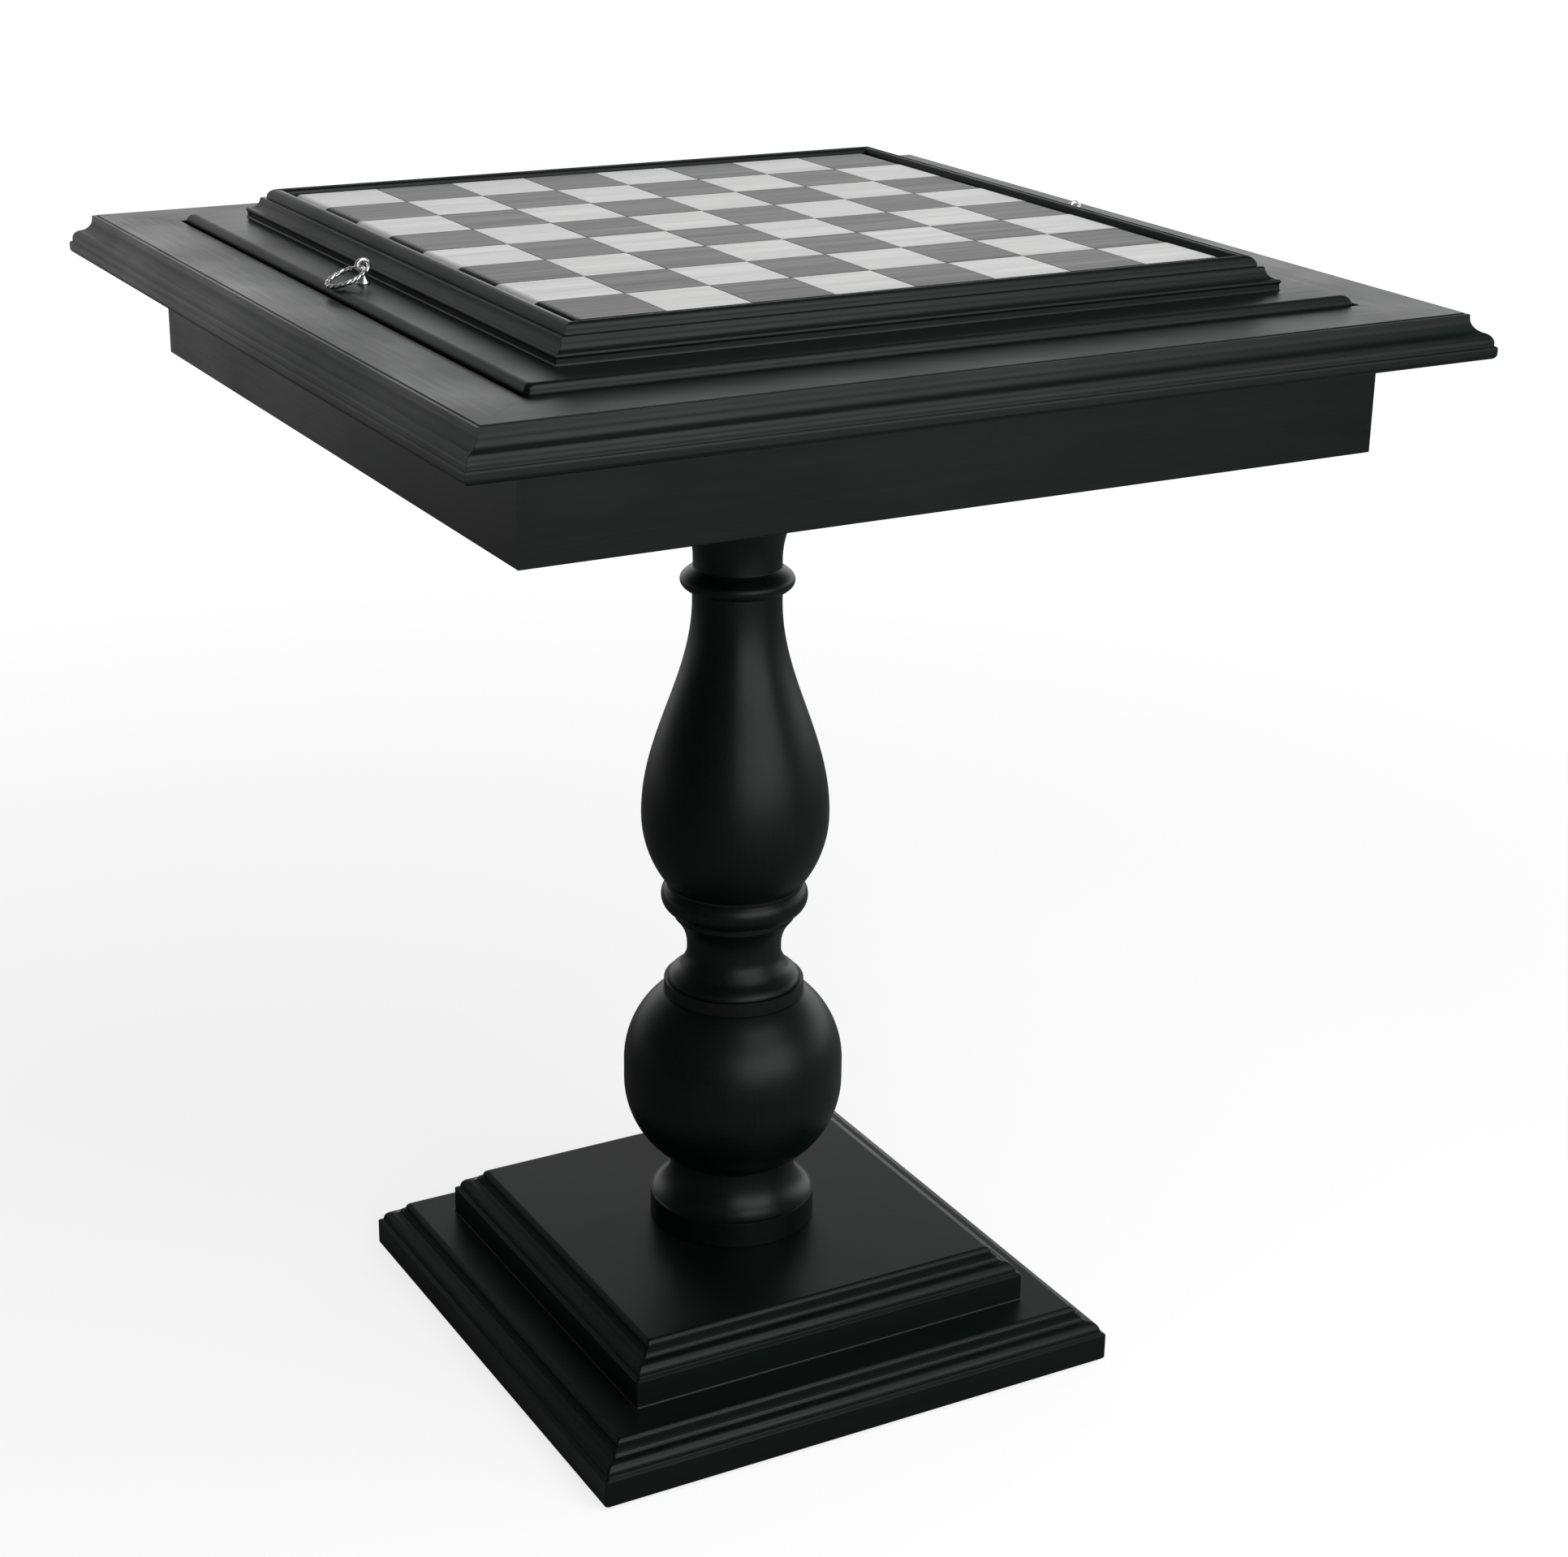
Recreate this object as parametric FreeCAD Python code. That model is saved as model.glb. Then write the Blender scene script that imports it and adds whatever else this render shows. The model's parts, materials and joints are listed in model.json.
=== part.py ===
import FreeCAD, Part
import math
import os

# Games table: a square moulded top over a shallow box, a lift-off lid that carries a framed
# 8 x 8 board, a turned column and a two-tier moulded base.  Millimetres, +Z up, origin on the
# floor under the column's axis.  Every plan size grows outwards from the playing squares.

# --- Playing board -------------------------------------------------------------------------
squares_per_side = 8
square_side = 50.0
inlay_gap = 0.2
tile_thickness = 1.0
board_thickness = 16.2
board_roll = 4.0
board_play = 1.5

# --- Moulded frame round the board (outside to inside, bottom to top) ------------------------
rail_foot_height = 3.6
rail_foot_setback = 0.6
rail_nose_height = 2.3
rail_nose_setback = 0.5
rail_cove_radius = 6.3
rail_lip_width = 0.8
rail_lip_height = 0.7
rail_ledge_width = 2.4
rail_crest_radius = 5.5
rail_inner_radius = 4.6

# --- Lid ---------------------------------------------------------------------------------
lid_thickness = 18.0
lid_margin = 29.7
lid_edge_radius = 4.0
batten_width = 30.0
batten_thickness = 10.0
batten_spacing = 300.0
batten_end_play = 8.0

# --- Top frame (outside to inside, bottom to top) ----------------------------------------------
lid_play = 2.0
rabbet_depth = 12.7
rabbet_width = 9.3
top_flat_width = 40.9
edge_round_radius = 3.0
edge_face_height = 3.3
edge_bead_setback = 0.3
edge_bead_height = 0.7
edge_step_width = 1.3
edge_step_height = 0.6
cyma_riser_height = 1.4
cyma_width = 10.3
cyma_height = 13.4
cyma_convex_radius = 5.7
edge_quirk_width = 0.4
edge_quirk_height = 1.2
edge_ledge_width = 2.2
edge_ledge_height = 0.2
edge_riser_height = 1.2

# --- Box ---------------------------------------------------------------------------------
apron_height = 59.0
apron_thickness = 18.0
apron_arris = 0.8
bottom_thickness = 12.0
bottom_rabbet_width = 8.0
bottom_play = 0.2
corner_block_leg = 22.0

# --- Base ----------------------------------------------------------------------------------
lower_plinth_side = 364.0
upper_plinth_side = 282.0
plinth_face_height = 18.0
plinth_ledge_width = 2.8
plinth_ledge_fall = 1.5
plinth_riser_height = 0.5
plinth_ovolo_radius = 6.0
plinth_cove_radius = 3.5
plinth_step_width = 1.3
plinth_step_height = 1.0
plinth_round_radius = 3.5
glide_diameter = 30.0
glide_thickness = 2.0
glide_inset = 32.0
glide_nail_diameter = 2.5
glide_nail_length = 14.0

# --- Column, lower turning (radii and heights, bottom to top; angles from the horizontal) -------
foot_radius = 54.2
foot_height = 17.5
flare_rim_width = 1.6
flare_foot_angle = 154.0
flare_neck_radius = 40.0
flare_height = 28.0
ball_radius = 71.5
ball_arc_radius = 62.0
ball_straight_height = 12.6
band_radius = 45.3
band_ledge_width = 0.8
band_height = 8.8
spigot_radius = 16.0
spigot_height = 22.0

# --- Column, upper turning --------------------------------------------------------------------
cushion_foot_radius = 43.0
cushion_height = 10.2
cushion_top_radius = 34.3
cushion_top_angle = 120.0
waist_radius = 30.5
waist_cove_height = 10.4
waist_height = 2.9
bell_height = 20.5
bell_radius = 38.9
bell_top_angle = 47.0
collar_lip_height = 3.6
collar_quirk = 1.1
collar_radius = 47.2
collar_height = 18.5
collar_top_radius = 44.0
vase_foot_radius = 43.7
vase_foot_height = 2.0
belly_radius = 59.9
belly_arc_radius = 74.0
vase_shoulder_height = 141.5
vase_neck_radius = 28.1
vase_neck_height = 6.5
astragal_foot_angle = 8.0
astragal_lower_height = 6.6
astragal_radius = 35.8
astragal_upper_height = 8.9
astragal_top_angle = 125.0
upper_neck_radius = 27.8
upper_neck_height = 4.3
trumpet_arc_radius = 57.0
trumpet_top_radius = 54.0
capital_radius = 57.0
capital_height = 29.0
capital_chamfer = 2.0

# --- Fastening ---------------------------------------------------------------------------------
plate_side = 200.0
plate_thickness = 22.0
plate_corner_radius = 10.0
rod_diameter = 10.0
rod_clearance = 0.5
rod_end_inset = 1.5
nut_across_flats = 17.0
nut_height = 8.0
washer_diameter = 24.0
washer_thickness = 2.0
counterbore_play = 3.0
plinth_counterbore_depth = 14.0
plate_counterbore_depth = 13.0
dowel_diameter = 8.0
dowel_depth = 12.0
frame_dowel_depth = 9.0
dowel_clearance = 0.1
dowel_end_room = 0.5
frame_dowel_spacing = 190.0
foot_dowel_spacing = 70.0
screw_clearance = 0.1
screw_tip_taper = 8.0
plinth_screw_diameter = 5.0
plinth_screw_length = 60.0
plinth_screw_spacing = 170.0
plate_screw_diameter = 5.0
plate_screw_length = 31.0
plate_screw_inset = 22.0
batten_screw_diameter = 3.5
batten_screw_length = 22.0
batten_screw_spacing = 190.0
rail_screw_diameter = 4.0
rail_screw_length = 29.0
rail_screw_spacing = 200.0
rail_screw_inset = 8.5

# --- Ring pulls ----------------------------------------------------------------------------------
pull_setback = 19.8
left_pull_offset = 6.0
right_pull_offset = -3.0
eye_outer_diameter = 9.7
eye_wire_diameter = 2.2
eye_centre_height = 9.5
eye_collar_radius = 4.0
eye_collar_top_radius = 1.7
eye_collar_height = 4.5
eye_shank_diameter = 3.0
eye_shank_depth = 13.0
ring_outer_diameter = 24.5
ring_wire_diameter = 2.4
ring_play = 0.3

# --- Sizes worked out from those above ----------------------------------------------------------
field_side = squares_per_side * square_side
board_half = field_side / 2 + board_roll
rail_inner_half = board_half + board_play
rail_width = (rail_nose_setback + rail_cove_radius + rail_lip_width + rail_ledge_width
              + rail_crest_radius + rail_inner_radius)
rail_height = (rail_foot_height + rail_nose_height + rail_cove_radius + rail_lip_height
               + rail_crest_radius)
rail_outer_half = rail_inner_half + rail_width
lid_half = rail_outer_half + lid_margin
opening_half = lid_half + lid_play
box_inner_half = opening_half - rabbet_width
apron_outer_half = box_inner_half + apron_thickness
edge_width = edge_bead_setback + edge_step_width + cyma_width + edge_quirk_width + edge_ledge_width
top_thickness = (edge_round_radius + edge_face_height + edge_bead_height + edge_step_height
                 + cyma_riser_height + cyma_height + edge_quirk_height + edge_ledge_height
                 + edge_riser_height)
top_half = opening_half + top_flat_width + edge_width
plinth_thickness = (plinth_face_height + plinth_ledge_fall + plinth_riser_height
                    + plinth_ovolo_radius + plinth_cove_radius + 2 * plinth_step_height
                    + plinth_round_radius)
lower_plinth_z = glide_thickness
upper_plinth_z = lower_plinth_z + plinth_thickness
column_z = upper_plinth_z + plinth_thickness


def arc_rise(radius, reach):
    """Height along a quarter arc of the given radius where it stands reach from its centre."""
    return math.sqrt(radius ** 2 - reach ** 2)


ball_centre_reach = ball_radius - ball_arc_radius
ball_foot_rise = arc_rise(ball_arc_radius, flare_neck_radius - ball_centre_reach)
ball_top_rise = arc_rise(ball_arc_radius, band_radius + band_ledge_width - ball_centre_reach)
ball_lower_centre = foot_height + flare_height + ball_foot_rise
ball_upper_centre = ball_lower_centre + ball_straight_height
band_foot = ball_upper_centre + ball_top_rise
lower_turning_height = band_foot + band_height
cushion_top = lower_turning_height + cushion_height
waist_foot = cushion_top + waist_cove_height
waist_top = waist_foot + waist_height
collar_foot = waist_top + bell_height
collar_bead_foot = collar_foot + collar_lip_height
collar_top = collar_bead_foot + collar_height
belly_centre_reach = belly_radius - belly_arc_radius
belly_z = collar_top + vase_foot_height + arc_rise(belly_arc_radius, vase_foot_radius - belly_centre_reach)
vase_top = belly_z + vase_shoulder_height
astragal_foot = vase_top + vase_neck_height
astragal_z = astragal_foot + astragal_lower_height
astragal_top = astragal_z + astragal_upper_height
trumpet_foot = astragal_top + upper_neck_height
trumpet_centre_reach = upper_neck_radius + trumpet_arc_radius
trumpet_top = trumpet_foot + arc_rise(trumpet_arc_radius, trumpet_centre_reach - trumpet_top_radius)
column_height = trumpet_top + capital_height

plate_z = column_z + column_height
box_z = plate_z + plate_thickness
box_floor_z = box_z + bottom_thickness
top_z = box_z + apron_height
lid_seat_z = top_z + top_thickness - rabbet_depth
lid_top_z = lid_seat_z + lid_thickness
board_surface_z = lid_top_z + board_thickness
eye_centre_radius = (eye_outer_diameter - eye_wire_diameter) / 2
ring_centre_radius = (ring_outer_diameter - ring_wire_diameter) / 2
pull_reach = lid_half - pull_setback


# --- Helpers ---------------------------------------------------------------------------------
upright = 90.0
handle_share = 0.36


def outline(start, *steps):
    """Closed face in the XZ plane.  A step of one point is a straight line to it, of two points
    an arc (a point on the way, the end), of three a Bezier curve (two handles, the end)."""
    edges = []
    here = start
    for step in list(steps) + [(start,)]:
        points = [FreeCAD.Vector(x, 0, z) for x, z in (here,) + tuple(step)]
        if len(points) == 2:
            edges.append(Part.makeLine(points[0], points[1]))
        elif len(points) == 3:
            edges.append(Part.Arc(points[0], points[1], points[2]).toShape())
        else:
            curve = Part.BezierCurve()
            curve.setPoles(points)
            edges.append(curve.toShape())
        here = step[-1]
    return Part.Face(Part.Wire(edges))


def on_circle(centre, radius, degrees):
    """Point of a circle in the outline plane, counted anticlockwise from the +X direction."""
    turn = math.radians(degrees)
    return (centre[0] + radius * math.cos(turn), centre[1] + radius * math.sin(turn))


def quarter(centre, radius, start_degrees, end_degrees):
    """Arc step for outline(), from one angle to another about a centre."""
    middle = (start_degrees + end_degrees) / 2
    return (on_circle(centre, radius, middle), on_circle(centre, radius, end_degrees))


def flowing(foot, foot_angle, top, top_angle):
    """Bezier step for outline() that leaves foot and reaches top in the given directions."""
    handle = handle_share * math.dist(foot, top)
    return (on_circle(foot, handle, foot_angle), on_circle(top, handle, top_angle + 180), top)


def block(x0, x1, y0, y1, z0, z1):
    return Part.makeBox(x1 - x0, y1 - y0, z1 - z0, FreeCAD.Vector(x0, y0, z0))


def square_slab(half, z0, z1):
    return block(-half, half, -half, half, z0, z1)


def edges_at(shape, z):
    """Edges that lie level at the given height."""
    return [edge for edge in shape.Edges if all(math.isclose(v.Z, z) for v in edge.Vertexes)]


def cylinder(radius, x, y, z0, z1):
    return Part.makeCylinder(radius, z1 - z0, FreeCAD.Vector(x, y, z0))


def turned(face):
    """Solid of revolution about the Z axis."""
    return face.revolve(FreeCAD.Vector(0, 0, 0), FreeCAD.Vector(0, 0, 1), 360)


def turn_about_z(shape, degrees):
    copy = shape.copy()
    copy.rotate(FreeCAD.Vector(0, 0, 0), FreeCAD.Vector(0, 0, 1), degrees)
    return copy


def mitred_side(face, outer_half):
    """Front member of a square frame: the section runs along X and is mitred at both ends.
    The section's X is the distance in front of the table's centre plane."""
    section = turn_about_z(face, -90)
    section.translate(FreeCAD.Vector(-outer_half, 0, 0))
    member = section.extrude(FreeCAD.Vector(2 * outer_half, 0, 0))
    box = member.BoundBox
    corners = [(0, 0), (-outer_half, -outer_half), (outer_half, -outer_half), (0, 0)]
    plan = Part.makePolygon([FreeCAD.Vector(x, y, box.ZMin) for x, y in corners])
    wedge = Part.Face(plan).extrude(FreeCAD.Vector(0, 0, box.ZLength))
    return member.common(wedge)


def four_sides(front):
    """The same member turned to the front, right, back and left of the table."""
    sides = {}
    for index, side in enumerate(("front", "right", "back", "left")):
        sides[side] = turn_about_z(front, 90 * index)
    return sides


def dowel(x, y, z_joint, depth_below, depth_above):
    """Plain dowel across a horizontal joint, with room left beyond both its ends."""
    low = z_joint - depth_below + dowel_end_room
    high = z_joint + depth_above - dowel_end_room
    return cylinder(dowel_diameter / 2, x, y, low, high)


def dowel_hole(x, y, z_joint, depth_below, depth_above):
    radius = dowel_diameter / 2 + dowel_clearance
    return cylinder(radius, x, y, z_joint - depth_below, z_joint + depth_above)


def wood_screw(x, y, z_head, diameter, length, clearance=0.0):
    """Countersunk screw driven upwards; with a clearance, the hole that it goes in."""
    radius = diameter / 2
    grown = radius + clearance
    place = FreeCAD.Vector(x, y, z_head)
    head = Part.makeCone(2 * radius + clearance, grown, radius, place)
    shank = cylinder(grown, x, y, z_head, z_head + length - radius)
    tip = Part.makeCone(grown, grown / screw_tip_taper, grown,
                        FreeCAD.Vector(x, y, z_head + length - radius))
    return head.fuse([shank, tip]).removeSplitter()


def join(shapes):
    return shapes[0].fuse(shapes[1:]).removeSplitter()


def group(shapes):
    return Part.makeCompound(shapes)


# --- Places of the fasteners --------------------------------------------------------------------
def square_corners(spacing):
    half = spacing / 2
    return [(x, y) for x in (-half, half) for y in (-half, half)]


def frame_dowel_places():
    """Three dowels in the top edge of each apron, at the middle of its thickness."""
    reach = box_inner_half + apron_thickness / 2
    places = []
    for along in (-frame_dowel_spacing, 0, frame_dowel_spacing):
        places += [(along, -reach), (reach, along), (along, reach), (-reach, along)]
    return places


def foot_dowel_places():
    return [(-foot_dowel_spacing / 2, 0), (foot_dowel_spacing / 2, 0)]


def rail_screw_places():
    """Two screws in each rail of the board's frame."""
    reach = rail_inner_half + rail_screw_inset
    places = []
    for along in (-rail_screw_spacing / 2, rail_screw_spacing / 2):
        places += [(along, -reach), (reach, along), (along, reach), (-reach, along)]
    return places


def batten_screw_places(x):
    return [(x, along) for along in (-batten_screw_spacing, 0, batten_screw_spacing)]


def glide_places():
    return square_corners(lower_plinth_side - 2 * glide_inset)


# --- Base ----------------------------------------------------------------------------------------
def plinth_profile(half, z):
    """Half section of a plinth: flat face, ledge, ovolo, cove, two small steps, rounded top."""
    ledge = z + plinth_face_height
    riser = ledge + plinth_ledge_fall
    ovolo = riser + plinth_riser_height
    ovolo_x = half - plinth_ledge_width - plinth_ovolo_radius
    cove = ovolo + plinth_ovolo_radius + plinth_cove_radius
    step_x = ovolo_x - plinth_cove_radius - plinth_step_width
    round_x = step_x - plinth_step_width - plinth_round_radius
    round_z = cove + 2 * plinth_step_height
    top = round_z + plinth_round_radius
    return outline((0, z),
                   ((half, z),),
                   ((half, ledge),),
                   ((half - plinth_ledge_width, riser),),
                   ((half - plinth_ledge_width, ovolo),),
                   quarter((ovolo_x, ovolo), plinth_ovolo_radius, 0, 90),
                   quarter((ovolo_x, cove), plinth_cove_radius, 270, 180),
                   ((step_x, cove),),
                   ((step_x, cove + plinth_step_height),),
                   ((step_x - plinth_step_width, cove + plinth_step_height),),
                   ((step_x - plinth_step_width, round_z),),
                   quarter((round_x, round_z), plinth_round_radius, 0, 90),
                   ((0, top),))


def moulded_slab(profile, half):
    """Square block whose four edges carry the profile: two crossed mouldings in common."""
    right = profile.copy()
    right.translate(FreeCAD.Vector(0, -half, 0))
    right = right.extrude(FreeCAD.Vector(0, 2 * half, 0))
    along_y = right.fuse(turn_about_z(right, 180)).removeSplitter()
    return along_y.common(turn_about_z(along_y, 90)).removeSplitter()


def rod_bore(z0, z1):
    return cylinder(rod_diameter / 2 + rod_clearance, 0, 0, z0, z1)


def lower_plinth():
    half = lower_plinth_side / 2
    body = moulded_slab(plinth_profile(half, lower_plinth_z), half)
    counterbore = cylinder((washer_diameter + counterbore_play) / 2, 0, 0, lower_plinth_z,
                           lower_plinth_z + plinth_counterbore_depth)
    cuts = [rod_bore(lower_plinth_z, upper_plinth_z), counterbore]
    for x, y in square_corners(plinth_screw_spacing):
        cuts.append(wood_screw(x, y, lower_plinth_z, plinth_screw_diameter,
                               plinth_screw_length, screw_clearance))
    for x, y in glide_places():
        cuts.append(cylinder(glide_nail_diameter / 2, x, y, lower_plinth_z,
                             lower_plinth_z + glide_nail_length))
    return body.cut(cuts)


def upper_plinth():
    half = upper_plinth_side / 2
    body = moulded_slab(plinth_profile(half, upper_plinth_z), half)
    cuts = [rod_bore(upper_plinth_z, column_z)]
    for x, y in square_corners(plinth_screw_spacing):
        cuts.append(wood_screw(x, y, lower_plinth_z, plinth_screw_diameter,
                               plinth_screw_length, screw_clearance))
    for x, y in foot_dowel_places():
        cuts.append(dowel_hole(x, y, column_z, dowel_depth, dowel_depth))
    return body.cut(cuts)


def glides():
    """Four nail-on glides under the corners of the lower plinth."""
    pads = []
    for x, y in glide_places():
        pad = cylinder(glide_diameter / 2, x, y, 0, glide_thickness)
        nail = cylinder(glide_nail_diameter / 2, x, y, 0, lower_plinth_z + glide_nail_length)
        pads.append(join([pad, nail]))
    return group(pads)


# --- Column --------------------------------------------------------------------------------------
def lower_turning():
    """Foot, trumpet flare, ball and band, with a socket in its top for the upper turning."""
    ball_foot_turn = math.degrees(math.asin(ball_foot_rise / ball_arc_radius))
    ball_top_turn = math.degrees(math.asin(ball_top_rise / ball_arc_radius))
    flare_z = column_z + foot_height
    neck_z = flare_z + flare_height
    band_z = column_z + band_foot
    top = column_z + lower_turning_height
    flare_start = foot_radius - flare_rim_width
    body = turned(outline(
        (0, column_z),
        ((foot_radius, column_z),),
        ((foot_radius, flare_z),),
        ((flare_start, flare_z),),
        flowing((flare_start, flare_z), flare_foot_angle, (flare_neck_radius, neck_z), upright),
        quarter((ball_centre_reach, column_z + ball_lower_centre), ball_arc_radius,
                -ball_foot_turn, 0),
        ((ball_radius, column_z + ball_upper_centre),),
        quarter((ball_centre_reach, column_z + ball_upper_centre), ball_arc_radius,
                0, ball_top_turn),
        ((band_radius, band_z),),
        ((band_radius, top),),
        ((0, top),)))
    cuts = [rod_bore(column_z, top)]
    cuts.append(cylinder(spigot_radius + dowel_clearance, 0, 0,
                         top - spigot_height - dowel_end_room, top))
    for x, y in foot_dowel_places():
        cuts.append(dowel_hole(x, y, column_z, dowel_depth, dowel_depth))
    return body.cut(cuts)


def upper_turning():
    """Cushion, waist, collar, vase, astragal, trumpet and capital, with a spigot below."""
    foot = column_z + lower_turning_height
    spigot_foot = foot - spigot_height
    vase_turn = math.degrees(math.asin((belly_z - collar_top - vase_foot_height) / belly_arc_radius))
    trumpet_turn = math.degrees(math.asin((trumpet_top - trumpet_foot) / trumpet_arc_radius))
    top = column_z + column_height
    body = turned(outline(
        (0, spigot_foot),
        ((spigot_radius, spigot_foot),),
        ((spigot_radius, foot),),
        ((cushion_foot_radius, foot),),
        flowing((cushion_foot_radius, foot), upright,
                (cushion_top_radius, column_z + cushion_top), cushion_top_angle),
        flowing((cushion_top_radius, column_z + cushion_top), cushion_top_angle,
                (waist_radius, column_z + waist_foot), upright),
        ((waist_radius, column_z + waist_top),),
        flowing((waist_radius, column_z + waist_top), upright,
                (bell_radius, column_z + collar_foot), bell_top_angle),
        ((bell_radius, column_z + collar_bead_foot),),
        ((bell_radius - collar_quirk, column_z + collar_bead_foot),),
        ((collar_radius, column_z + (collar_bead_foot + collar_top) / 2),
         (collar_top_radius, column_z + collar_top)),
        ((vase_foot_radius, column_z + collar_top),),
        ((vase_foot_radius, column_z + collar_top + vase_foot_height),),
        quarter((belly_centre_reach, column_z + belly_z), belly_arc_radius, -vase_turn, 0),
        flowing((belly_radius, column_z + belly_z), upright,
                (vase_neck_radius, column_z + vase_top), upright),
        ((vase_neck_radius, column_z + astragal_foot),),
        flowing((vase_neck_radius, column_z + astragal_foot), astragal_foot_angle,
                (astragal_radius, column_z + astragal_z), upright),
        flowing((astragal_radius, column_z + astragal_z), upright,
                (upper_neck_radius, column_z + astragal_top), astragal_top_angle),
        ((upper_neck_radius, column_z + trumpet_foot),),
        quarter((trumpet_centre_reach, column_z + trumpet_foot), trumpet_arc_radius,
                180, 180 - trumpet_turn),
        ((capital_radius, column_z + trumpet_top),),
        ((capital_radius, top - capital_chamfer),),
        ((capital_radius - capital_chamfer, top),),
        ((0, top),)))
    cuts = [rod_bore(spigot_foot, top)]
    for x, y in foot_dowel_places():
        cuts.append(dowel_hole(x, y, top, dowel_depth, dowel_depth))
    return body.cut(cuts)


def column_dowels():
    """Two dowels at the foot of the column and two at its top keep it from turning."""
    places = [(x, y, z) for x, y in foot_dowel_places() for z in (column_z, plate_z)]
    return group([dowel(x, y, z, dowel_depth, dowel_depth) for x, y, z in places])


# --- Tie rod -------------------------------------------------------------------------------------
lower_washer_z = lower_plinth_z + plinth_counterbore_depth - washer_thickness
upper_washer_z = box_z - plate_counterbore_depth
rod_low_z = lower_plinth_z + rod_end_inset
rod_high_z = box_z - rod_end_inset


def tie_rod():
    return cylinder(rod_diameter / 2, 0, 0, rod_low_z, rod_high_z)


def washer(z):
    disc = cylinder(washer_diameter / 2, 0, 0, z, z + washer_thickness)
    return disc.cut(cylinder(rod_diameter / 2, 0, 0, z, z + washer_thickness))


def nut(z):
    corner = nut_across_flats / math.sqrt(3)
    points = [FreeCAD.Vector(*on_circle((0, 0), corner, 60 * side), z) for side in range(7)]
    body = Part.Face(Part.makePolygon(points)).extrude(FreeCAD.Vector(0, 0, nut_height))
    return body.cut(cylinder(rod_diameter / 2, 0, 0, z, z + nut_height))


def rod_washers():
    return group([washer(lower_washer_z), washer(upper_washer_z)])


def rod_nuts():
    return group([nut(lower_washer_z - nut_height), nut(upper_washer_z + washer_thickness)])


def mounting_plate():
    body = square_slab(plate_side / 2, plate_z, box_z)
    corners = [edge for edge in body.Edges if edge.BoundBox.ZLength > edge.BoundBox.XLength
               and edge.BoundBox.ZLength > edge.BoundBox.YLength]
    body = body.makeFillet(plate_corner_radius, corners)
    cuts = [rod_bore(plate_z, box_z)]
    cuts.append(cylinder((washer_diameter + counterbore_play) / 2, 0, 0, upper_washer_z, box_z))
    for x, y in square_corners(plate_side - 2 * plate_screw_inset):
        cuts.append(wood_screw(x, y, plate_z, plate_screw_diameter, plate_screw_length,
                               screw_clearance))
    for x, y in foot_dowel_places():
        cuts.append(dowel_hole(x, y, plate_z, dowel_depth, dowel_depth))
    return body.cut(cuts)


# --- Box -----------------------------------------------------------------------------------------
def apron():
    """Front apron: a board with eased arrises and a rabbet for the bottom panel."""
    rabbet = box_inner_half + bottom_rabbet_width
    low = box_z + apron_arris
    return mitred_side(outline(
        (box_inner_half, top_z),
        ((box_inner_half, box_floor_z),),
        ((rabbet, box_floor_z),),
        ((rabbet, box_z),),
        ((apron_outer_half - apron_arris, box_z),),
        quarter((apron_outer_half - apron_arris, low), apron_arris, 270, 360),
        ((apron_outer_half, top_z),)), apron_outer_half)


def box_bottom():
    half = box_inner_half + bottom_rabbet_width - bottom_play
    body = square_slab(half, box_z, box_floor_z)
    cuts = []
    for x, y in square_corners(plate_side - 2 * plate_screw_inset):
        cuts.append(wood_screw(x, y, plate_z, plate_screw_diameter, plate_screw_length,
                               screw_clearance))
    return body.cut(cuts)


def corner_block():
    """Triangular glue block in the front left corner of the box."""
    corner = (-box_inner_half, -box_inner_half)
    points = [corner, (corner[0] + corner_block_leg, corner[1]),
              (corner[0], corner[1] + corner_block_leg), corner]
    plan = Part.makePolygon([FreeCAD.Vector(x, y, box_floor_z) for x, y in points])
    return Part.Face(plan).extrude(FreeCAD.Vector(0, 0, top_z - box_floor_z))


def frame_dowels():
    depth = frame_dowel_depth
    return group([dowel(x, y, top_z, dowel_depth, depth) for x, y in frame_dowel_places()])


def frame_dowel_holes():
    depth = frame_dowel_depth
    return [dowel_hole(x, y, top_z, dowel_depth, depth) for x, y in frame_dowel_places()]


# --- Top frame -----------------------------------------------------------------------------------
def top_frame_profile():
    """Moulded edge with a cyma under a flat top, and a rabbet inside for the lid."""
    face_x = top_half
    bead_z = top_z + edge_round_radius + edge_face_height
    step_x = face_x - edge_bead_setback
    riser_x = step_x - edge_step_width
    step_z = bead_z + edge_bead_height
    riser_z = step_z + edge_step_height
    cyma_z = riser_z + cyma_riser_height
    reach = (cyma_width ** 2 + cyma_height ** 2) / (2 * cyma_width)
    convex = (riser_x - cyma_convex_radius, cyma_z)
    concave_radius = reach - cyma_convex_radius
    concave = (riser_x - cyma_width + concave_radius, cyma_z + cyma_height)
    turn = math.degrees(math.atan2(concave[1] - convex[1], concave[0] - convex[0]))
    quirk_x = riser_x - cyma_width - edge_quirk_width
    quirk_z = cyma_z + cyma_height + edge_quirk_height
    flat_x = quirk_x - edge_ledge_width
    top = top_z + top_thickness
    return outline((box_inner_half, top_z),
                   ((face_x - edge_round_radius, top_z),),
                   quarter((face_x - edge_round_radius, top_z + edge_round_radius),
                           edge_round_radius, 270, 360),
                   ((face_x, bead_z),),
                   ((step_x, step_z),),
                   ((riser_x, riser_z),),
                   ((riser_x, cyma_z),),
                   quarter(convex, cyma_convex_radius, 0, turn),
                   quarter(concave, concave_radius, 180 + turn, 180),
                   ((quirk_x, quirk_z),),
                   ((flat_x, quirk_z + edge_ledge_height),),
                   ((flat_x, top),),
                   ((opening_half, top),),
                   ((opening_half, lid_seat_z),),
                   ((box_inner_half, lid_seat_z),))


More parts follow.
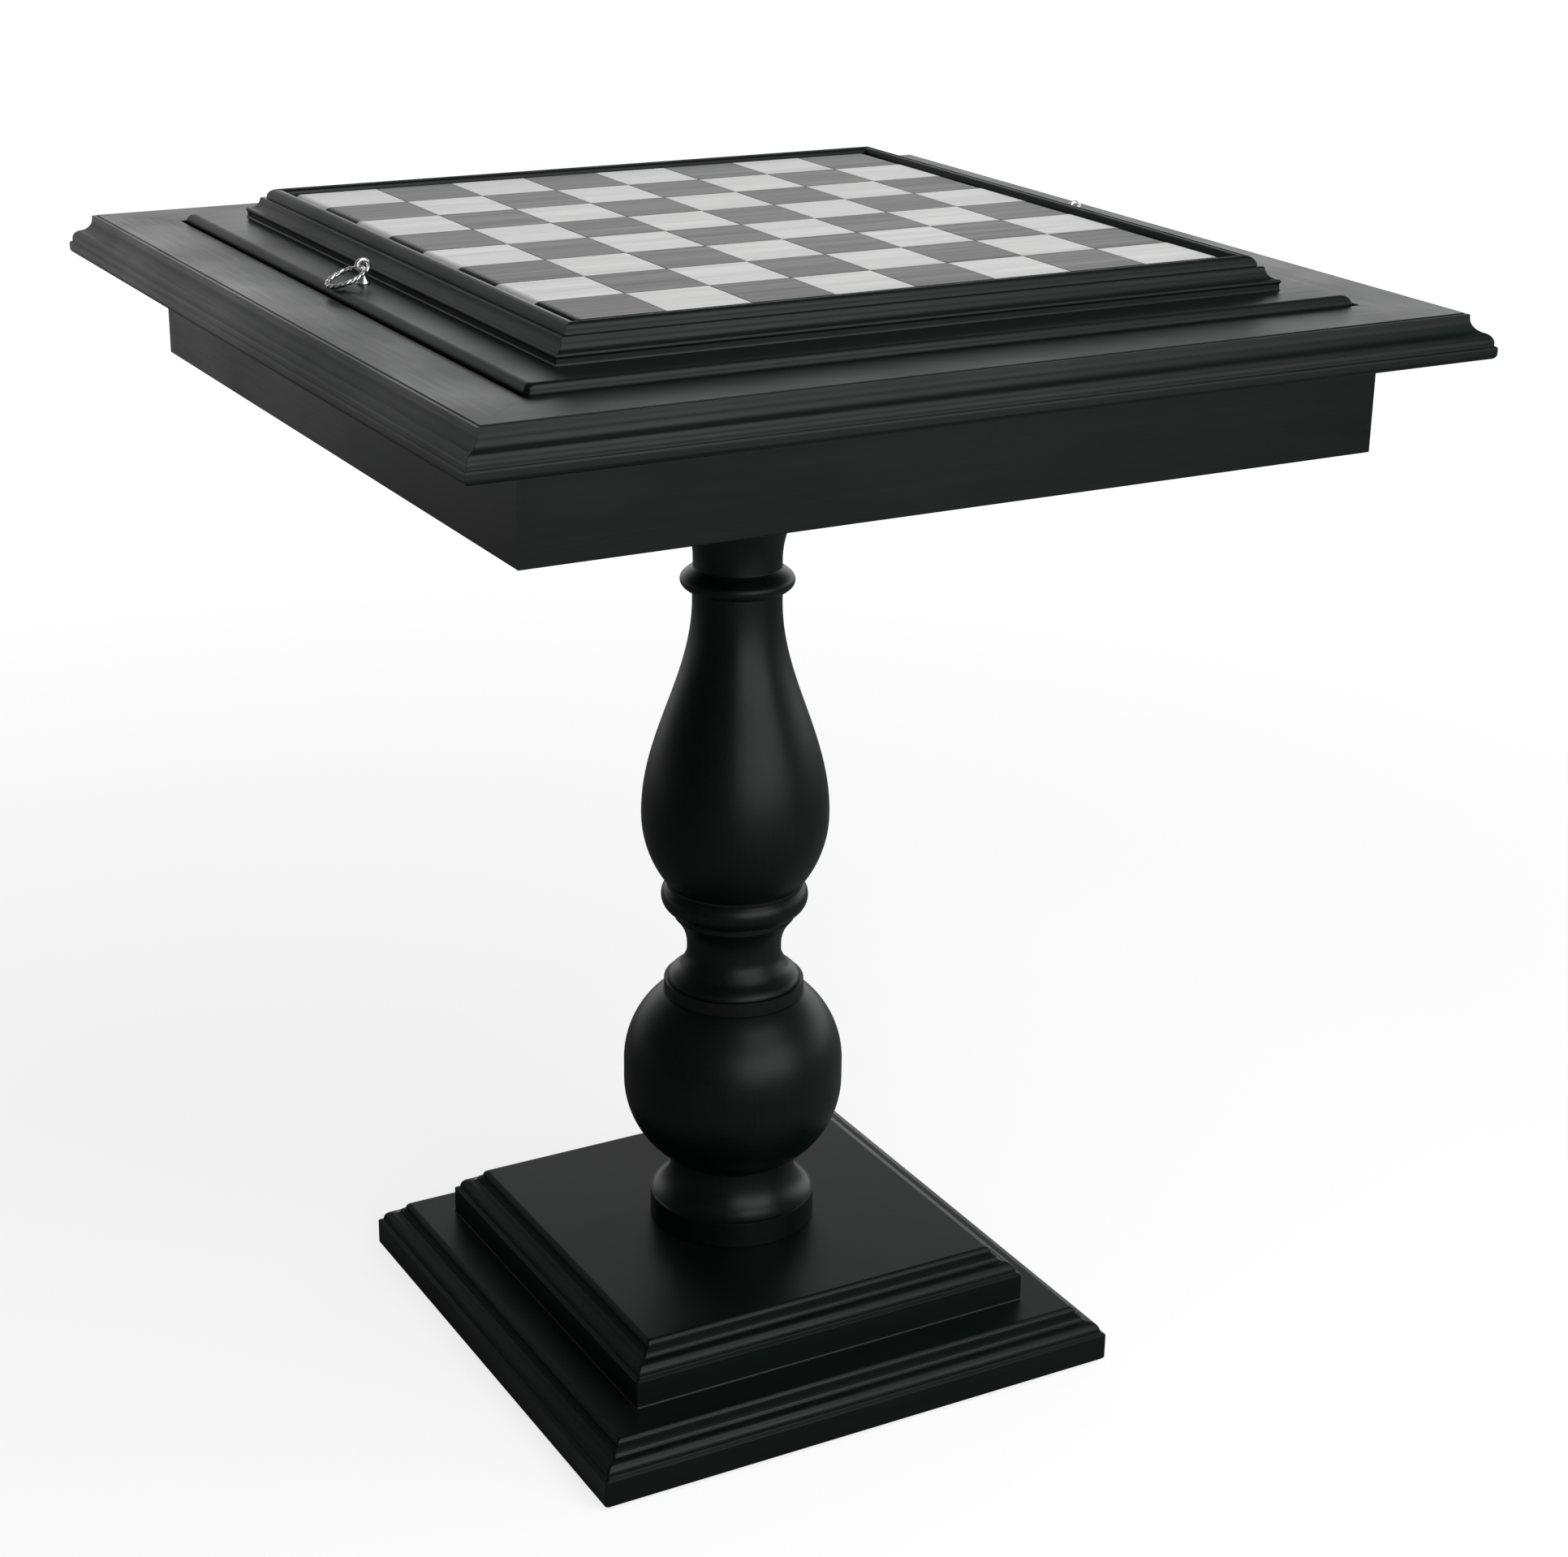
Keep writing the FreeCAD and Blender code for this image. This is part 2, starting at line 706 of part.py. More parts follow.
# --- Lid -----------------------------------------------------------------------------------------
def batten(x):
    """Batten across the lid's underside, clear of the ledge that the lid rests on."""
    half_length = box_inner_half - batten_end_play
    body = block(x - batten_width / 2, x + batten_width / 2, -half_length, half_length,
                 lid_seat_z - batten_thickness, lid_seat_z)
    return body.cut(batten_screw_holes(x))


def batten_screw_holes(x):
    low = lid_seat_z - batten_thickness
    return [wood_screw(px, py, low, batten_screw_diameter, batten_screw_length, screw_clearance)
            for px, py in batten_screw_places(x)]


def batten_screws():
    low = lid_seat_z - batten_thickness
    places = batten_screw_places(-batten_spacing / 2) + batten_screw_places(batten_spacing / 2)
    return group([wood_screw(x, y, low, batten_screw_diameter, batten_screw_length)
                  for x, y in places])


def rail_screw_holes():
    return [wood_screw(x, y, lid_seat_z, rail_screw_diameter, rail_screw_length, screw_clearance)
            for x, y in rail_screw_places()]


def rail_screws():
    return group([wood_screw(x, y, lid_seat_z, rail_screw_diameter, rail_screw_length)
                  for x, y in rail_screw_places()])


def lid_panel():
    body = square_slab(lid_half, lid_seat_z, lid_top_z)
    body = body.makeFillet(lid_edge_radius, edges_at(body, lid_top_z))
    cuts = rail_screw_holes()
    for x in (-batten_spacing / 2, batten_spacing / 2):
        cuts += batten_screw_holes(x)
    for x, y in pull_places():
        cuts.append(cylinder(eye_shank_diameter / 2, x, y, lid_top_z - eye_shank_depth, lid_top_z))
    return body.cut(cuts)


def board_rail_profile():
    """Small nosing at the foot, cove, ledge and a rounded crest."""
    nose_z = lid_top_z + rail_foot_height
    cove_z = nose_z + rail_nose_height
    cove_x = rail_outer_half - rail_nose_setback
    lip_z = cove_z + rail_cove_radius
    lip_x = cove_x - rail_cove_radius
    ledge_z = lip_z + rail_lip_height
    crest_x = lip_x - rail_lip_width - rail_ledge_width - rail_crest_radius
    crest_z = ledge_z + rail_crest_radius
    inner_z = crest_z - rail_inner_radius
    foot_x = rail_outer_half - rail_foot_setback
    return outline((rail_inner_half, lid_top_z),
                   ((foot_x, lid_top_z),),
                   ((foot_x, nose_z),),
                   ((rail_outer_half, nose_z + 0.45 * rail_nose_height), (cove_x, cove_z)),
                   quarter((cove_x, lip_z), rail_cove_radius, 270, 180),
                   ((lip_x - rail_lip_width, ledge_z),),
                   ((crest_x + rail_crest_radius, ledge_z),),
                   quarter((crest_x, ledge_z), rail_crest_radius, 0, 90),
                   quarter((crest_x, inner_z), rail_inner_radius, 90, 180))


def board_panel():
    """Board core with a rolled edge and a shallow recess for the inlaid squares."""
    body = square_slab(board_half, lid_top_z, board_surface_z)
    body = body.makeFillet(board_roll, edges_at(body, board_surface_z))
    return body.cut(square_slab(field_side / 2, board_surface_z - tile_thickness, board_surface_z))


def tiles(colour):
    """The 32 squares of one colour; the near left square is dark (colour 0)."""
    side = square_side - inlay_gap
    squares = []
    for column in range(squares_per_side):
        for row in range(squares_per_side):
            if (column + row) % 2 == colour:
                x = column * square_side - field_side / 2 + inlay_gap / 2
                y = row * square_side - field_side / 2 + inlay_gap / 2
                squares.append(block(x, x + side, y, y + side,
                                     board_surface_z - tile_thickness, board_surface_z))
    return group(squares)


# --- Ring pulls ----------------------------------------------------------------------------------
def pull_places():
    return [(-pull_reach, left_pull_offset), (pull_reach, right_pull_offset)]


def ring_eye(x, y):
    """Screw eye: shank in the lid, coned collar and a closed eye with its hole along Y."""
    centre = lid_top_z + eye_centre_height
    collar_top = lid_top_z + eye_collar_height
    wire = eye_wire_diameter / 2
    eye = Part.makeTorus(eye_centre_radius, wire, FreeCAD.Vector(x, y, centre),
                         FreeCAD.Vector(0, 1, 0))
    neck = cylinder(wire, x, y, lid_top_z, centre - eye_centre_radius)
    collar = Part.makeCone(eye_collar_radius, eye_collar_top_radius, eye_collar_height,
                           FreeCAD.Vector(x, y, lid_top_z))
    shank = cylinder(eye_shank_diameter / 2, x, y, lid_top_z - eye_shank_depth, collar_top)
    return join([collar, shank, neck, eye])


def ring_pivot_z():
    """The ring's wire lies at the bottom of the eye's hole."""
    hole = eye_centre_radius - eye_wire_diameter / 2
    return lid_top_z + eye_centre_height - (hole - ring_wire_diameter / 2 - ring_play)


def ring_rest_tilt():
    """Fall of the ring below level, where its wire comes to rest on the lid's rounded edge."""
    across = pull_setback - lid_edge_radius
    down = ring_pivot_z() - (lid_top_z - lid_edge_radius)
    reach = math.hypot(across, down)
    seat = lid_edge_radius + ring_wire_diameter / 2 + ring_play
    return math.atan2(down, across) - math.asin(seat / reach)


def pull_ring(x, y):
    """Ring that hangs in the eye and lies outwards over the lid's edge."""
    side = math.copysign(1, x)
    tilt = ring_rest_tilt()
    centre = FreeCAD.Vector(x + side * ring_centre_radius * math.cos(tilt), y,
                            ring_pivot_z() - ring_centre_radius * math.sin(tilt))
    normal = FreeCAD.Vector(side * math.sin(tilt), 0, math.cos(tilt))
    return Part.makeTorus(ring_centre_radius, ring_wire_diameter / 2, centre, normal)


# --- Assembly ------------------------------------------------------------------------------------
def build_nodes():
    nodes = {
        "base_glides": glides(),
        "base_lower_plinth": lower_plinth(),
        "base_upper_plinth": upper_plinth(),
        "column_lower": lower_turning(),
        "column_upper": upper_turning(),
        "column_dowels": column_dowels(),
        "tie_rod": tie_rod(),
        "rod_washers": rod_washers(),
        "rod_nuts": rod_nuts(),
        "mounting_plate": mounting_plate(),
        "box_bottom": box_bottom(),
        "frame_dowels": frame_dowels(),
        "lid_panel": lid_panel(),
        "batten_screws": batten_screws(),
        "board_frame_screws": rail_screws(),
        "board_panel": board_panel(),
        "dark_squares": tiles(0),
        "light_squares": tiles(1),
    }
    nodes["plinth_screws"] = group([
        wood_screw(x, y, lower_plinth_z, plinth_screw_diameter, plinth_screw_length)
        for x, y in square_corners(plinth_screw_spacing)])
    nodes["plate_screws"] = group([
        wood_screw(x, y, plate_z, plate_screw_diameter, plate_screw_length)
        for x, y in square_corners(plate_side - 2 * plate_screw_inset)])
    for side, shape in four_sides(apron()).items():
        nodes["apron_" + side] = shape.cut(frame_dowel_holes())
    for side, shape in four_sides(mitred_side(top_frame_profile(), top_half)).items():
        nodes["top_frame_" + side] = shape.cut(frame_dowel_holes())
    for side, shape in four_sides(mitred_side(board_rail_profile(), rail_outer_half)).items():
        nodes["board_frame_" + side] = shape.cut(rail_screw_holes())
    for index, corner in enumerate(("front_left", "front_right", "back_right", "back_left")):
        nodes["corner_block_" + corner] = turn_about_z(corner_block(), 90 * index)
    for side, place, x in zip(("left", "right"), pull_places(), (-1, 1)):
        nodes["lid_batten_" + side] = batten(x * batten_spacing / 2)
        nodes["ring_eye_" + side] = ring_eye(*place)
        nodes["pull_ring_" + side] = pull_ring(*place)
    return nodes


os.makedirs("parts", exist_ok=True)
for name, shape in build_nodes().items():
    shape.exportStep("parts/" + name + ".step")
print("ring pivots at", [(x, y, round(ring_pivot_z(), 3)) for x, y in pull_places()])
print("ring falls", round(math.degrees(ring_rest_tilt()), 2), "degrees below level")
print("lid top", round(lid_top_z, 3), "board", round(board_surface_z, 3))
print("overall", round(2 * top_half, 3), "square,", round(lid_top_z + rail_height, 3), "high")
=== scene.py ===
"""Looks of a games table: black lacquered joinery, a brushed metal board and chromed ring pulls."""
import json
import math

import bpy
import numpy as np
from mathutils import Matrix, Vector


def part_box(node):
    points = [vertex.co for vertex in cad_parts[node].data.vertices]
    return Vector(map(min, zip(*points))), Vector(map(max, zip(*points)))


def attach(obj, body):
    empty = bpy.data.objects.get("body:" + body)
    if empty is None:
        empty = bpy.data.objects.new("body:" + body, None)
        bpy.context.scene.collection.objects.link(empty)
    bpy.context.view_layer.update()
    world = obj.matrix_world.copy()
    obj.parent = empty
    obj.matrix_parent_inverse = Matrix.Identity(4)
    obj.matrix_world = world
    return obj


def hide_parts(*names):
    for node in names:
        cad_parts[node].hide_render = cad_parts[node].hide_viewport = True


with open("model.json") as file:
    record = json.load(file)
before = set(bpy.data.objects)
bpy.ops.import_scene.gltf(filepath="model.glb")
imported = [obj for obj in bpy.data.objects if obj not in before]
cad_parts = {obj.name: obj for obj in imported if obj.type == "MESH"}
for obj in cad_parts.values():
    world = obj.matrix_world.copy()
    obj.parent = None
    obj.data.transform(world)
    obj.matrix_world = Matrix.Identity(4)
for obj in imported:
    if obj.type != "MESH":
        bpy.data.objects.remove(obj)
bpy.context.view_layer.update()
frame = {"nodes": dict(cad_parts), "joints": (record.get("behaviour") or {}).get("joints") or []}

bl_info = {
    "name": "Games table",
    "version": (1, 0, 0),
    "blender": (4, 5, 0),
    "location": "View3D > Sidebar > Games table",
    "description": "Builds the finished pieces of a pedestal games table round its packed frame",
    "category": "Object",
}

mm = 0.001


# --- Heights and plan sizes read from the frame, in metres ---
def low(node, axis):
    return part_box(node)[0][axis]


def high(node, axis):
    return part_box(node)[1][axis]


lid_top = low("board_panel", 2)
lid_foot = low("lid_panel", 2)
top_foot = low("top_frame_front", 2)
top_crest = high("top_frame_front", 2)
column_foot = low("column_lower", 2)
column_joint = high("column_lower", 2)
column_crest = high("column_upper", 2)
board_surface = high("board_panel", 2)
board_half = high("board_panel", 0)
field_half = high("light_squares", 0)
tile_foot = low("light_squares", 2)
# The outer squares are cut back by this much, and the board's edge starts to roll there.
field_trim = 1.3 * mm
board_roll = board_half - field_half + field_trim


# --- Outlines: arrays of (distance from a centre or edge, height), in millimetres ---
def corner(*points):
    """Straight runs between the given points."""
    return np.array(points, float)


def arc(x, z, radius, start, end, count=14):
    """Circle about (x, z): x + radius cos a, z + radius sin a, for a from start to end degrees."""
    turn = np.radians(np.linspace(start, end, count))
    return np.column_stack((x + radius * np.cos(turn), z + radius * np.sin(turn)))


def arc_through(first, middle, last, count=20):
    """Circle through three points, from the first over the middle one to the last."""
    (ax, az), (bx, bz), (cx, cz) = first, middle, last
    left = np.array([[bx - ax, bz - az], [cx - ax, cz - az]]) * 2
    right = np.array([bx**2 - ax**2 + bz**2 - az**2, cx**2 - ax**2 + cz**2 - az**2])
    x, z = np.linalg.solve(left, right)
    turns = np.unwrap([math.atan2(p[1] - z, p[0] - x) for p in (first, middle, last)])
    start, end = np.degrees(turns[[0, 2]])
    return arc(x, z, math.hypot(ax - x, az - z), start, end, count)


def flowing(foot, foot_angle, top, top_angle, count=32, handle=0.36):
    """Cubic Bezier curve that leaves foot and reaches top in the given directions (degrees), with
    handles of the given share of the distance between them."""
    foot, top = np.array(foot, float), np.array(top, float)
    reach = handle * np.linalg.norm(top - foot)
    leave = np.array([math.cos(math.radians(foot_angle)), math.sin(math.radians(foot_angle))])
    arrive = np.array([math.cos(math.radians(top_angle)), math.sin(math.radians(top_angle))])
    t = np.linspace(0, 1, count)[:, None]
    poles = (foot, foot + reach * leave, top - reach * arrive, top)
    weights = ((1 - t) ** 3, 3 * t * (1 - t) ** 2, 3 * t**2 * (1 - t), t**3)
    return sum(weight * pole for weight, pole in zip(weights, poles))


def eased(points, reach, closed=False):
    """Rounds every sharp turn of an outline, as sandpaper and paint do: the corner point gives way
    to three points of the curve (1-t)^2 a + 2t(1-t) p + t^2 b between points a and b, which lie
    on its two runs at the given reach or at the longest share of the run."""
    sharp_turn, longest_share = 14, 0.4
    before = np.roll(points, 1, axis=0)
    after = np.roll(points, -1, axis=0)
    if not closed:
        before[0], after[-1] = points[0], points[-1]
    back, ahead = before - points, after - points
    back_length = np.linalg.norm(back, axis=1, keepdims=True)
    ahead_length = np.linalg.norm(ahead, axis=1, keepdims=True)
    back = back / np.maximum(back_length, 1e-9)
    ahead = ahead / np.maximum(ahead_length, 1e-9)
    straight = -(back * ahead).sum(axis=1)
    sharp = straight < math.cos(math.radians(sharp_turn))
    if not closed:
        sharp[[0, -1]] = False
    a = points + back * np.minimum(reach, longest_share * back_length)
    b = points + ahead * np.minimum(reach, longest_share * ahead_length)
    rounded = np.stack((a, 0.25 * a + 0.5 * points + 0.25 * b, b), axis=1)
    plain = np.stack((points, points, points), axis=1)
    merged = np.where(sharp[:, None, None], rounded, plain)
    keep = np.column_stack((np.ones_like(sharp), sharp, sharp))
    return merged[keep]


def run(*pieces):
    """Joins outline pieces into one array and drops points that repeat the one before."""
    points = np.vstack(pieces)
    gaps = np.linalg.norm(np.diff(points, axis=0), axis=1)
    return points[np.concatenate(([True], gaps > 1e-5))]


# --- Surfaces ---
def grid_faces(rows, columns, close_rows=False, close_columns=False):
    """Quads of a grid of points numbered row by row, optionally joined end to end either way."""
    row = np.arange(rows if close_rows else rows - 1)
    column = np.arange(columns if close_columns else columns - 1)
    r, c = [part.ravel() for part in np.meshgrid(row, column, indexing="ij")]
    r_next, c_next = (r + 1) % rows, (c + 1) % columns
    return np.column_stack((r * columns + c, r * columns + c_next,
                            r_next * columns + c_next, r_next * columns + c))


def add_object(name, data):
    made = bpy.data.objects.new(name, data)
    bpy.context.scene.collection.objects.link(made)
    return made


def add_piece(name, vertices, faces, finish, body, nodes, sharp=32):
    """Makes a mesh object from points in metres, rides it on its body and swaps it for its nodes."""
    mesh = bpy.data.meshes.new(name)
    mesh.from_pydata(np.asarray(vertices).tolist(), [], [face for part in faces for face in part])
    mesh.validate()
    mesh.shade_smooth()
    mesh.set_sharp_from_angle(angle=math.radians(sharp))
    mesh.materials.append(finish)
    piece = add_object(name, mesh)
    flats = piece.modifiers.new("even_flats", "WEIGHTED_NORMAL")
    flats.mode = "FACE_AREA"
    flats.keep_sharp = True
    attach(piece, body)
    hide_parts(*nodes)


def turned(outline, foot, segments=160):
    """Surface of revolution: (r cos a, r sin a, foot + z) for each outline point (r, z) and each
    angle a.  The outline runs from the axis at the foot to the axis at the top; its two end
    points become poles."""
    radius, height = outline[1:-1, 0] * mm, outline[1:-1, 1] * mm + foot
    turn = np.linspace(0, 2 * math.pi, segments, endpoint=False)
    x = radius[:, None] * np.cos(turn)
    y = radius[:, None] * np.sin(turn)
    z = np.repeat(height[:, None], segments, axis=1)
    skin = np.stack((x, y, z), axis=-1).reshape(-1, 3)
    poles = np.array([[0, 0, outline[0, 1] * mm + foot], [0, 0, outline[-1, 1] * mm + foot]])
    around = np.arange(segments)
    ahead = (around + 1) % segments
    last = (len(radius) - 1) * segments
    foot_pole, top_pole = len(skin), len(skin) + 1
    foot_fan = np.column_stack((np.full(segments, foot_pole), ahead, around))
    top_fan = np.column_stack((np.full(segments, top_pole), last + around, last + ahead))
    faces = [grid_faces(len(radius), segments, close_columns=True).tolist(),
             foot_fan.tolist(), top_fan.tolist()]
    return np.vstack((skin, poles)), faces


def square_path(halves, corner_radius, steps=4):
    """Square of the given half side with rounded corners: one row of plan points per half side."""
    turn = np.linspace(0, math.pi / 2, steps + 1)
    turns = (turn[None, :] + np.arange(4)[:, None] * math.pi / 2).ravel()
    quarter = np.repeat(np.arange(4), steps + 1)
    x_side = np.array([1, -1, -1, 1])[quarter]
    y_side = np.array([1, 1, -1, -1])[quarter]
    middle = halves[:, None] - corner_radius
    x = x_side * middle + corner_radius * np.cos(turns)
    y = y_side * middle + corner_radius * np.sin(turns)
    return x, y


def moulded_block(outline, half, foot, corner_radius):
    """Square block with a moulded edge: the outline (offset from the face, height) is carried
    round a square of half side half + offset, and the first and last rows are closed flat."""
    x, y = square_path(half + outline[:, 0] * mm, corner_radius * mm)
    rows, columns = x.shape
    z = np.repeat(foot + outline[:, 1:2] * mm, columns, axis=1)
    skin = np.stack((x, y, z), axis=-1).reshape(-1, 3)
    under = list(range(columns))[::-1]
    over = list(range((rows - 1) * columns, rows * columns))
    return skin, [grid_faces(rows, columns, close_columns=True).tolist(), [under, over]]


def inset(outline, depth):
    """Closed outline moved inwards along its normals by the given depth."""
    along = np.roll(outline, -1, axis=0) - np.roll(outline, 1, axis=0)
    along = along / np.maximum(np.linalg.norm(along, axis=1, keepdims=True), 1e-9)
    return outline + depth * np.column_stack((-along[:, 1], along[:, 0]))


def mitred_member(outline, half, foot, quarter_turns, ease=0.15, draw=0.35):
    """One member of a square frame, front when quarter_turns is 0: the closed outline (offset
    from the outer face, height) is carried along x from -d to d, where d = half + offset is its
    distance in front of the centre, so that both ends are mitred.  The last ease of each end is
    drawn in by a share of itself, which leaves a fine line at the joint."""
    drawn = inset(outline, draw * ease)
    stations = ((drawn, -1, 0.0), (outline, -1, ease), (outline, 1, ease), (drawn, 1, 0.0))
    rings = []
    for section, side, back in stations:
        depth = half + section[:, 0] * mm
        x = side * (depth - back * mm)
        rings.append(np.column_stack((x, -depth, foot + section[:, 1] * mm)))
    points = np.vstack(rings)
    turn = quarter_turns * math.pi / 2
    cos, sin = math.cos(turn), math.sin(turn)
    points = np.column_stack((cos * points[:, 0] - sin * points[:, 1],
                              sin * points[:, 0] + cos * points[:, 1], points[:, 2]))
    count = len(outline)
    faces = grid_faces(4, count, close_columns=True)
    first = list(range(count))
    last = list(range(3 * count, 4 * count))[::-1]
    return points, [faces[:, ::-1].tolist(), [first, last]]


def square_frame(context, outline, foot, piece, node_group, body):
    """Four mitred members, front, right, back and left, each with the grain along its length."""
    for turns, side in enumerate(("front", "right", "back", "left")):
        half = high(node_group + "_front", 0)
        points, faces = mitred_member(outline, half, foot, turns)
        add_piece(piece + "_" + side, points, faces, lacquered(context, "xy"[turns % 2]), body,
                  [node_group + "_" + side])


# --- Outlines of this table ---
def plinth_outline(foot):
    """Foot, face, ledge, ovolo, cove, two small steps and a rounded top edge."""
    face, ledge, ledge_fall, riser = 18.0, 2.8, 1.5, 20.0
    ovolo, cove, step_width, step_height, rounding = 6.0, 3.5, 1.3, 1.0, 3.5
    ovolo_x = -ledge - ovolo
    cove_z = riser + ovolo + cove
    step_x = ovolo_x - cove - step_width
    step_z = cove_z + step_height
    return eased(run(
        foot,
        corner((0, face), (-ledge, face + ledge_fall), (-ledge, riser)),
        arc(ovolo_x, riser, ovolo, 0, 90),
        arc(ovolo_x, cove_z, cove, 270, 180),
        corner((step_x, cove_z), (step_x, step_z), (step_x - step_width, step_z)),
        arc(step_x - step_width - rounding, step_z + step_height, rounding, 0, 90)), reach=0.35)


def top_edge_outline():
    """Closed section of the top frame: rounded foot, bead, cyma, ledge, flat top and rabbet."""
    thickness = (top_crest - top_foot) / mm
    top_half = high("top_frame_front", 0) / mm
    seat = (lid_foot - top_foot) / mm
    lid_gap, box_lap = 2.0, 7.8
    opening = high("lid_panel", 0) / mm + lid_gap - top_half
    inner = high("box_bottom", 0) / mm - box_lap - top_half
    rounding = 3.0
    width, height, convex = 10.3, 13.4, 5.7
    cyma_x, cyma_z = -1.6, 9.0
    ledge_start, ledge_end = -12.1, -14.5
    concave = (width**2 + height**2) / (2 * width) - convex
    low_centre = (cyma_x - convex, cyma_z)
    high_centre = (cyma_x - width + concave, cyma_z + height)
    turn = math.degrees(math.atan2(high_centre[1] - low_centre[1], high_centre[0] - low_centre[0]))
    bead = corner((0, 6.3), (-0.3, 7.0), (-1.6, 7.6), (cyma_x, cyma_z))
    ledge = corner((ledge_start, thickness - 0.6), (ledge_end, thickness - 0.55))
    flat = corner((ledge_end, thickness), (opening, thickness))
    rabbet = corner((opening, seat), (inner, seat))
    return eased(run(
        corner((inner, 0)),
        arc(-rounding, rounding, rounding, 270, 360),
        bead,
        arc(*low_centre, convex, 0, turn),
        arc(*high_centre, concave, 180 + turn, 180),
        ledge, flat, rabbet), reach=0.4, closed=True)


def board_rail_outline():
    """Closed section of a board rail: foot with a fine fillet of paint along the lid, nosing,
    cove, ledge and domed crest."""
    height = (high("board_frame_front", 2) - lid_top) / mm
    inner = -(high("board_frame_front", 1) - low("board_frame_front", 1)) / mm
    crest, roll, fall = 5.5, 4.0, 0.35
    nosing_x, nosing_z, cove_z, cove = -0.6, 3.6, 12.2, 6.3
    ledge_x, ledge_z, crest_x = -7.6, 12.9, -10.0
    paint_x, paint_z, nose_z = 0.15, 0.75, 4.64
    cove_foot = (-0.5, 5.9)
    outer_crest = arc(crest_x - crest, ledge_z, crest, 0, 78)
    inner_roll = arc(inner + roll, height - fall - roll, roll, 80, 180)
    dome_middle = ((outer_crest[-1, 0] + inner_roll[0, 0]) / 2, height)
    return eased(run(
        corner((inner, 0), (paint_x, 0), (nosing_x, paint_z), (nosing_x, nosing_z)),
        arc_through((nosing_x, nosing_z), (0, nose_z), cove_foot, 7),
        arc(cove_foot[0], cove_z, cove, 270, 180),
        corner((ledge_x, ledge_z), (crest_x, ledge_z)),
        outer_crest,
        arc_through(outer_crest[-1], dome_middle, inner_roll[0], 8),
        inner_roll), reach=0.3, closed=True)


def lid_outline():
    """Chamfered foot, upright face and a quarter round that ends level with the lid's top."""
    thickness = (lid_top - lid_foot) / mm
    chamfer, upright = 1.0, 0.2
    edge = (lid_top - top_crest) / mm - upright
    return eased(run(corner((-chamfer, 0), (0, chamfer)),
                     arc(-edge, thickness - edge, edge, 0, 90)), reach=0.3)


def board_core_outline(recess):
    """Rolled edge of the board and the shallow recess that holds the squares."""
    thickness = (board_surface - lid_top) / mm
    roll = board_roll / mm
    drop, wall = 0.15, 0.1
    return eased(run(corner((0, 0)),
                     arc(-roll, thickness - roll, roll - drop, 0, 90),
                     corner((-roll - wall, thickness - recess))), reach=0.05)


def lower_turning_outline():
    """Foot, flare, ball and band, as (radius, height above the column's foot)."""
    foot, foot_z, flare = 54.2, 17.5, 52.6
    ball, roll = 71.5, 62.0
    neck, neck_z = 40.0, 45.5
    band, band_edge, band_height = 46.1, 45.3, 8.8
    straight = 12.6
    reach = ball - roll
    lower = neck_z + math.sqrt(roll**2 - (neck - reach) ** 2)
    upper = lower + straight
    top = (column_joint - column_foot) / mm
    neck_turn = math.degrees(math.acos((neck - reach) / roll))
    band_turn = math.degrees(math.acos((band - reach) / roll))
    return eased(run(
        corner((0, 0), (54.0, 0), (foot, 0.4), (foot, foot_z), (flare, foot_z)),
        flowing((flare, foot_z), 154, (neck, neck_z), 90),
        arc(reach, lower, roll, -neck_turn, 0, 48),
        arc(reach, upper, roll, 0, band_turn, 48),
        corner((band_edge, top - band_height), (band_edge, top), (0, top))), reach=0.45)


def upper_turning_outline():
    """Cushion, waist, collar, vase, astragal and trumpet, as (radius, height above the joint)."""
    crest = (column_crest - column_joint) / mm
    cushion, cushion_top, cushion_z = 43.0, 34.3, 10.2
    waist, waist_z, waist_end = 30.5, 20.6, 23.5
    bell, bell_z, lip, lip_z = 38.9, 44.0, 37.8, 47.6
    collar, collar_z, collar_top, collar_top_z = 47.2, 56.85, 44.0, 66.1
    vase_foot, vase_foot_z = 43.7, 68.1
    belly, belly_arc, shoulder = 59.9, 74.0, 141.5
    vase_neck, neck, flare, capital_edge = 28.1, 27.8, 57.0, 54.0
    astragal, astragal_rise, underside_rise = 35.8, 6.6, 15.5
    disc, disc_edge = 57.0, 2.0
    belly_rise = math.sqrt(belly_arc**2 - (vase_foot - belly + belly_arc) ** 2)
    belly_z = vase_foot_z + belly_rise
    belly_turn = math.degrees(math.asin(belly_rise / belly_arc))
    neck_z = belly_z + shoulder
    bead = neck_z + 6.5
    trumpet = bead + 19.8
    flare_turn = math.degrees(math.acos((neck + flare - capital_edge) / flare))
    capital = trumpet + flare * math.sin(math.radians(flare_turn))
    return eased(run(
        corner((0, 0)),
        flowing((cushion, 0), 90, (cushion_top, cushion_z), 120),
        flowing((cushion_top, cushion_z), 120, (waist, waist_z), 90, 20),
        flowing((waist, waist_end), 90, (bell, bell_z), 47),
        corner((bell, lip_z), (lip, lip_z)),
        arc_through((lip, lip_z), (collar, collar_z), (collar_top, collar_top_z), 28),
        corner((vase_foot, collar_top_z)),
        arc(belly - belly_arc, belly_z, belly_arc, -belly_turn, 0, 32),
        flowing((belly, belly_z), 90, (vase_neck, neck_z), 90, 64),
        flowing((vase_neck, bead), 8, (astragal, bead + astragal_rise), 90, 16),
        flowing((astragal, bead + astragal_rise), 90, (neck, bead + underside_rise), 125, 16),
        arc(neck + flare, trumpet, flare, 180, 180 - flare_turn, 28),
        corner((disc, capital), (disc, crest - disc_edge), (disc - disc_edge, crest)),
        corner((0, crest))), reach=0.3)


